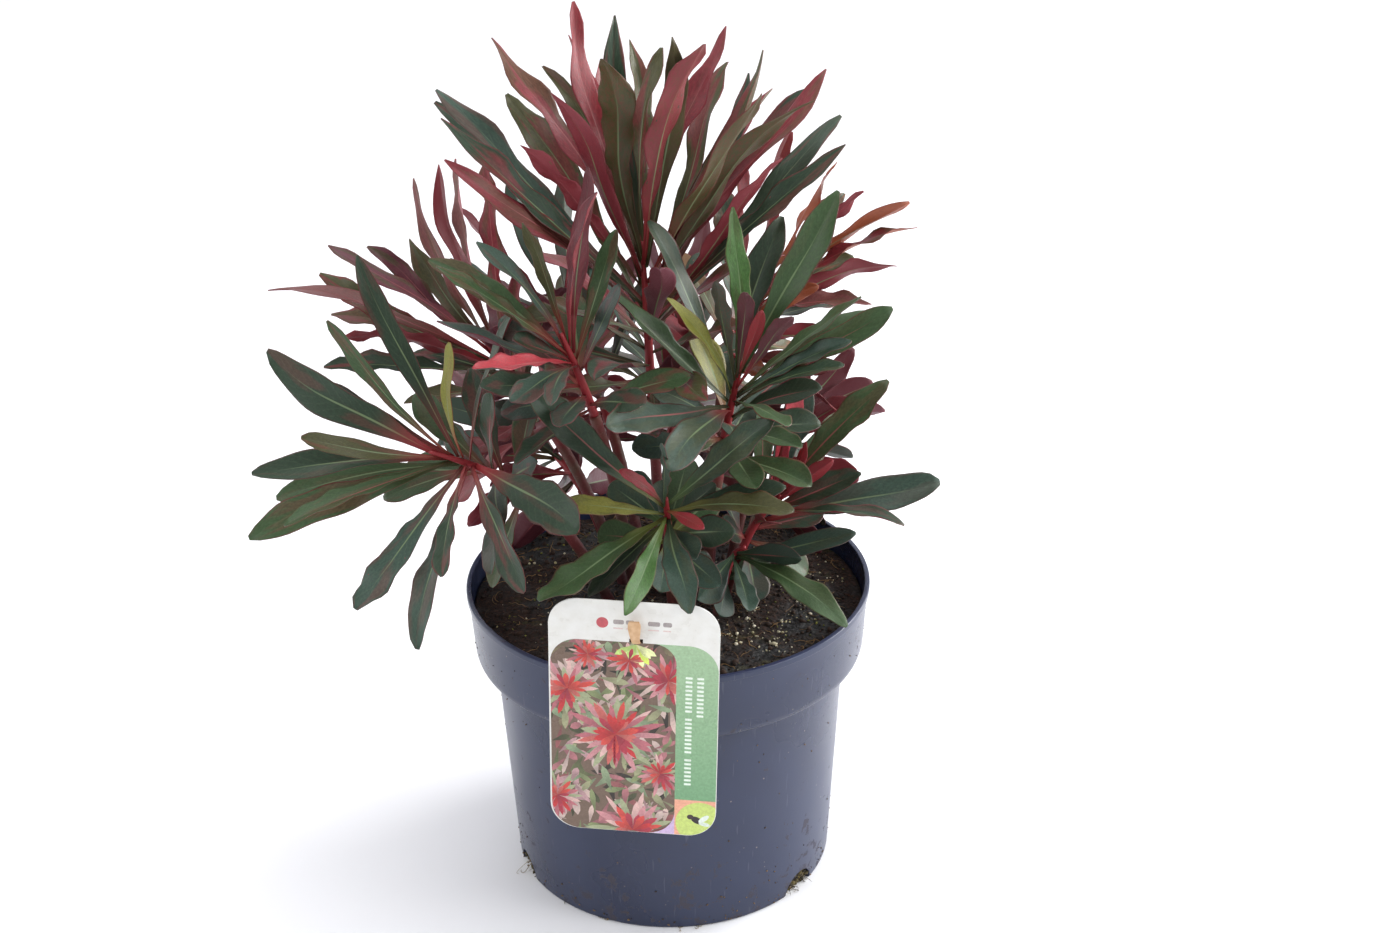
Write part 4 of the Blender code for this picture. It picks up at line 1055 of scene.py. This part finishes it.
LABEL_SLOT = Vector((-14.3 * MM, -97.76 * MM, POT_HEIGHT + 21.5 * MM))
LABEL_TURN = Matrix.Rotation(math.radians(-7), 4, "Z")
CARD_MIDDLE = Vector((-2.2 * MM, 0, -39 * MM))  # in the slot's frame
CARD_ROLL = Matrix.Rotation(math.radians(1.8), 4, "Y")
CARD_HALF_WIDTH, CARD_HALF_HEIGHT, CARD_CORNER = 37 * MM, 59 * MM, 13 * MM
CARD_THICKNESS = 0.5 * MM
PRINT_STEP, PRINT_SINK = 0.006 * MM, 0.08 * MM
SLOT_FRAME = Matrix.Translation(LABEL_SLOT) @ LABEL_TURN
CARD_FRAME = SLOT_FRAME @ Matrix.Translation(CARD_MIDDLE) @ CARD_ROLL
PICTURE_RIGHT = 18.5 * MM
PICTURE_TOP = 39 * MM
STRIPE_FOOT = -40 * MM


def corner_centres(left, right, low, high, corners):
    """Each corner's quarter turn, radius and centre: right top, left top, left low and right low."""
    for quarter, radius in enumerate(corners):
        x = right - radius if quarter in (0, 3) else left + radius
        z = high - radius if quarter in (0, 1) else low + radius
        yield quarter, radius, x, z


def box_outline(left, right, low, high, corners, steps=10):
    """A rectangle with rounded corners."""
    points = []
    for quarter, radius, x, z in corner_centres(left, right, low, high, corners):
        for i in range(steps + 1 if radius else 1):
            turn = math.radians(90 * quarter + 90 * i / steps)
            points.append(Vector((x + radius * math.cos(turn), z + radius * math.sin(turn))))
    return points


def card_box(margin):
    """The card's box and corner radii, a margin in from its edge."""
    return (-CARD_HALF_WIDTH + margin, CARD_HALF_WIDTH - margin, -CARD_HALF_HEIGHT + margin,
            CARD_HALF_HEIGHT - margin, (CARD_CORNER - margin,) * 4)


def bar(left, right, low, high, corner, steps):
    """A printed bar's outline, from millimetres."""
    return box_outline(left * MM, right * MM, low * MM, high * MM, (corner * MM,) * 4, steps)


def circle(centre, radius_mm, steps):
    """The outline of a printed disc."""
    turns = [2 * math.pi * i / steps for i in range(steps)]
    return [centre + Vector((math.cos(turn), math.sin(turn))) * radius_mm * MM for turn in turns]


def inside_box(point, left, right, low, high, corners):
    """The point itself, or the nearest one inside a rounded rectangle."""
    x = min(max(point.x, left), right)
    z = min(max(point.y, low), high)
    for quarter, radius, middle_x, middle_z in corner_centres(left, right, low, high, corners):
        beyond_x = (x - middle_x) * (1 if quarter in (0, 3) else -1)
        beyond_z = (z - middle_z) * (1 if quarter in (0, 1) else -1)
        reach = math.hypot(beyond_x, beyond_z)
        if beyond_x > 0 and beyond_z > 0 and reach > radius:
            x = middle_x + (x - middle_x) * radius / reach
            z = middle_z + (z - middle_z) * radius / reach
    return Vector((x, z))


def add_print(bm, outline, level, colour, tones=None):
    """A printed patch on the card's front: a very thin closed plate, its level over the card.

    tones gives each point of the outline its own colour.
    """
    inks = bm.verts.layers.float_vector["ink"]
    front, back = [], []
    face = -CARD_THICKNESS / 2
    for i, point in enumerate(outline):
        own = tones[i] if tones else colour
        for ring, depth in ((front, face - level * PRINT_STEP), (back, face + PRINT_SINK)):
            vert = bm.verts.new(CARD_FRAME @ Vector((point.x, depth, point.y)))
            vert[inks] = own
            ring.append(vert)
    bm.faces.new(front)
    bm.faces.new(back[::-1])
    bridge(bm, back, front)


def print_look():
    """Ink under a clear film."""
    look = Look("printed_film", 0.28)
    ink = look.attribute("ink", "Color")
    dots = look.noise(900.0, None, 3.0, 0.7)
    shade = look.ramp(dots, 0.25, 0.75, 0.86, 1.12)
    roughness = look.ramp(look.noise(60.0), 0.3, 0.7, 0.24, 0.36)
    return look.surface(look.shaded(ink, shade), roughness, look.noise(220.0), 0.03 * MM, 0.4)


def card_look():
    """White card under a clear film, faintly mottled."""
    look = Look("white_card", 0.3)
    mottle = look.noise(160.0, None, 4.0)
    white = look.mix(look.ramp(mottle, 0.3, 0.7), srgb(223, 222, 216), srgb(231, 231, 227))
    return look.surface(white, look.ramp(mottle, 0.3, 0.7, 0.26, 0.36), mottle, 0.05 * MM, 0.4)


LOOSE_LEAVES, BACK_LEAVES = 330, 130
# The picture's rosettes: where each one is, how long its leaves are in mm and how many a ring has.
ROSETTES = ((-8, -8, 21, 16), (0, -58, 20, 14), (-34, -42, 13, 11), (12, -27, 12, 11), (-29, 14, 16, 12),
            (15, 21, 15, 11), (-20, 32, 10, 9), (-2, 30, 12, 9))


def picture_leaf(centre, turn, length, width):
    """The outline of one small printed leaf from its base outwards."""
    along = Vector((math.cos(turn), math.sin(turn)))
    side = Vector((-along.y, along.x))
    shape = ((0, 0.12), (0.3, 0.55), (0.6, 1.0), (0.82, 0.8), (1, 0))
    points = [centre + along * length * t + side * width / 2 * w for t, w in shape]
    return points + [centre + along * length * t - side * width / 2 * w for t, w in reversed(shape[:-1])]


def make_picture(bm):
    """A generic picture of red and green rosettes, in a panel with rounded corners."""
    rng = random.Random("picture")
    panel = (-36.3 * MM, PICTURE_RIGHT, -58.8 * MM, PICTURE_TOP, (10 * MM, 12 * MM, 12.6 * MM, 12 * MM))
    add_print(bm, box_outline(*panel), 2, srgb(112, 92, 78))

    def add_leaf_print(centre, turn, length, width, level, colour):
        outline = [inside_box(point, *panel) for point in picture_leaf(centre, turn, length, width)]
        # A leaf that the panel's edge leaves nothing of is left out.
        sides = list(zip(outline, outline[1:] + outline[:1]))
        area = sum(a.x * b.y - b.x * a.y for a, b in sides) / 2
        if min((a - b).length for a, b in sides) < 0.02 * MM or abs(area) < 1.2 * MM * MM:
            return
        shades = [0.75 if i in (0, 1, 7, 8) else 1.15 for i in range(9)]
        tones = [tuple(channel * shade for channel in colour) for shade in shades]
        add_print(bm, outline, level, colour, tones)

    back_inks = (srgb(70, 72, 48), srgb(52, 44, 36), srgb(120, 108, 82), srgb(98, 104, 70),
                 srgb(140, 84, 84))
    front_inks = (srgb(176, 140, 142), srgb(150, 150, 116), srgb(190, 168, 160), srgb(128, 138, 96),
                  srgb(166, 108, 112), srgb(134, 150, 118), srgb(204, 178, 168))
    for i in range(LOOSE_LEAVES):
        centre = Vector((rng.uniform(-37, 19) * MM, rng.uniform(-59, 39) * MM))
        inks = back_inks if i < BACK_LEAVES else front_inks
        add_leaf_print(centre, rng.uniform(0, 6.28), rng.uniform(7, 14) * MM, rng.uniform(2.0, 3.6) * MM,
                       3 + i * 5 / LOOSE_LEAVES + rng.random(), rng.choice(inks))
    reds = (srgb(184, 48, 50), srgb(196, 70, 62), srgb(164, 50, 66), srgb(186, 96, 88))
    pinks = (srgb(190, 132, 136), srgb(206, 168, 162), srgb(172, 100, 108), srgb(152, 158, 124))
    for x, z, length, count in ROSETTES:
        centre = Vector((x, z)) * MM
        for ring, (share, inks) in enumerate(((1.0, pinks), (0.8, pinks + reds), (0.52, reds))):
            for i in range(count):
                turn = 2 * math.pi * (i + 0.5 * ring) / count + rng.uniform(-0.12, 0.12)
                reach = length * share * rng.uniform(0.8, 1.1) * MM
                width = rng.uniform(0.11, 0.17) * length * MM
                level = 9 + ring * 1.6 + rng.random()
                add_leaf_print(centre, turn, reach, width, level, rng.choice(inks))
    # The middle rosette's stalk, and a lime flower at the top.
    for z in range(-24, -9, 2):
        add_leaf_print(Vector((-8.3, z)) * MM, math.pi / 2, 3.4 * MM, 1.4 * MM, 13, srgb(158, 34, 48))
    lime = (srgb(206, 224, 96), srgb(182, 210, 120), srgb(226, 232, 170))
    for i in range(9):
        add_leaf_print(Vector((1, 38)) * MM, math.radians(-150 + 15 * i), rng.uniform(8, 12) * MM, 3 * MM,
                       11 + rng.random(), rng.choice(lime))


# The generic insect in the corner, as ovals: place, half length, half width, turn and colour.
INSECT = (
    (28.5, -50.5, 2.9, 1.7, -0.5, srgb(44, 34, 36)), (25.6, -48.9, 1.5, 1.3, 0, srgb(60, 44, 44)),
    (31.6, -49.6, 2.9, 1.2, 0.7, srgb(226, 236, 226)), (31.9, -52.4, 2.6, 1.0, -0.2, srgb(214, 226, 214)),
)


def make_label():
    """The printed card, hung on its stake through a slot."""
    bm = bmesh.new()
    inset = 0.12 * MM
    rings = []
    for depth, margin in ((-0.5, inset), (-0.3, 0), (0.3, 0), (0.5, inset)):
        y = depth * CARD_THICKNESS
        rings.append([bm.verts.new((point.x, y, point.y)) for point in box_outline(*card_box(margin))])
    skin(bm, rings, -1)
    bmesh.ops.transform(bm, matrix=CARD_FRAME, verts=bm.verts)
    card = piece("card", bm, card_look(), "label_print", "label_card", smooth=False)
    slot = bmesh.new()
    slot_size = Matrix.Diagonal((6 * MM, 4 * MM, 3.6 * MM, 1))
    bmesh.ops.create_cube(slot, size=1, matrix=SLOT_FRAME @ slot_size)
    cut_away(card, object_from("slot_cutter", slot))

    layout = bmesh.new()
    layout.verts.layers.float_vector.new("ink")
    edge = 0.25 * MM
    _, right, low, _, _ = card_box(edge)
    stripe = box_outline(PICTURE_RIGHT - 13 * MM, right, STRIPE_FOOT, PICTURE_TOP, (13 * MM, 0, 0, 0))
    green_low, green_high = srgb(116, 162, 120), srgb(160, 190, 152)
    tones = []
    for point in stripe:
        share = (point.y - STRIPE_FOOT) / (PICTURE_TOP - STRIPE_FOOT)
        tones.append(tuple(a + (b - a) * share for a, b in zip(green_low, green_high)))
    add_print(layout, stripe, 1, green_low, tones)
    lilac = box_outline(0, PICTURE_RIGHT, low, low + 14 * MM, (0, 0, 0, 0))
    add_print(layout, lilac, 1, srgb(205, 180, 216))
    salmon = box_outline(PICTURE_RIGHT, right, low, STRIPE_FOOT, (0, 0, 0, CARD_CORNER - edge))
    add_print(layout, salmon, 1, srgb(232, 168, 140))
    centre = Vector((30, -52)) * MM
    window = (PICTURE_RIGHT + 0.1 * MM, right, low, STRIPE_FOOT, (0, 0, 0, CARD_CORNER - edge))
    disc = [inside_box(point, *window) for point in circle(centre, 11, 48)]
    disc = [point for i, point in enumerate(disc) if (point - disc[i - 1]).length > 0.02 * MM]
    add_print(layout, disc, 2.5, srgb(196, 214, 118))
    for level, (x, z, length, width, turn, colour) in enumerate(INSECT):
        oval = []
        for i in range(14):
            angle = 2 * math.pi * i / 14
            along, side = length * math.cos(angle), width * math.sin(angle)
            oval.append(Vector((x + along * math.cos(turn) - side * math.sin(turn),
                                z + along * math.sin(turn) + side * math.cos(turn))) * MM)
        add_print(layout, oval, 4 + level, colour)
    # Blank bars stand for the words, and a plain dot for the mark.
    bars = [(29.0, 23 - 2.1 * i, 1.5, 0.55) for i in range(10)]
    bars += [(24.0, 23 - 2.1 * i, 1.5, 0.55) for i in range(27) if i % 10 != 9]
    for x, z, across, along in bars:
        outline = bar(x - across, x + across, z - along, z + along, 0.3, 3)
        add_print(layout, outline, 2.5, srgb(226, 238, 224))
    for x, width in ((-6.6, 4.6), (-1.6, 3.6), (8.6, 5.2), (14.4, 3.8)):
        left = x - width / 2
        add_print(layout, bar(left, x + width / 2, 47.6, 49.8, 0.7, 3), 1, srgb(160, 152, 150))
        add_print(layout, bar(left, x + width / 2.4, 45.3, 45.9, 0.2, 2), 1, srgb(214, 190, 186))
    add_print(layout, circle(Vector((-13.6, 48)) * MM, 2.6, 24), 1, srgb(190, 84, 92))
    make_picture(layout)
    piece("card_print", layout, print_look(), "label_print", smooth=False)


def stake_look():
    """Tan plastic with faint streaks along it."""
    look = Look("tan_plastic", 0.45)
    where = look.place()
    streaks = look.noise(340.0, where, 4.0)
    tan = look.mix(look.ramp(streaks, 0.3, 0.7), srgb(196, 154, 112), srgb(216, 180, 140))
    return look.surface(tan, look.ramp(streaks, 0.3, 0.7, 0.4, 0.52), streaks, 0.1 * MM, 0.4)


# The stake in the slot's frame, in mm: how far behind it, how far over it and how wide.
STAKE_STATIONS = ((30.3, -89.5, 2), (28.8, -79.5, 6.5), (17.8, -29.5, 6.5), (13.8, -17.5, 6.5),
                  (7.6, -6.5, 6), (2.2, -2.2, 3.8), (-2.2, 2.2, 3.8), (-4.2, 7.2, 5), (-4.9, 12.8, 6.2))


def make_stake():
    """The stake: a flat strip that stands in the soil, leans over the rim and hooks through the slot."""
    points = [Vector((width, behind, over)) * MM for behind, over, width in STAKE_STATIONS]
    line = smooth_line(points, 1.5 * MM)
    bm = bmesh.new()
    rings = []
    for i, point in enumerate(line):
        ahead = line[min(i + 1, len(line) - 1)] - line[max(i - 1, 0)]
        along = Vector((0, ahead.y, ahead.z)).normalized()
        through = along.cross(Vector((1, 0, 0)))
        from_end = (len(line) - 1 - i) * 0.7 * MM
        half = point.x / 2 * min(1.0, 0.72 + 0.28 * math.sqrt(min(1.0, from_end / (1.4 * MM))))
        section = box_outline(-half, half, -0.5 * MM, 0.5 * MM, (0.28 * MM,) * 4, 3)
        ring = []
        for corner in section:
            place = Vector((corner.x, point.y, point.z)) + through * corner.y
            ring.append(bm.verts.new(SLOT_FRAME @ place))
        rings.append(ring)
    skin(bm, rings, -1)
    bmesh.ops.recalc_face_normals(bm, faces=bm.faces)
    stake = piece("stake", bm, stake_look(), "stake_plastic", "label_stake")
    stake.data.set_sharp_from_angle(angle=math.radians(50))


make_camera()
make_stage()
make_plant()
make_pot()
make_soil()
make_roots_and_dirt()
make_label()
make_stake()
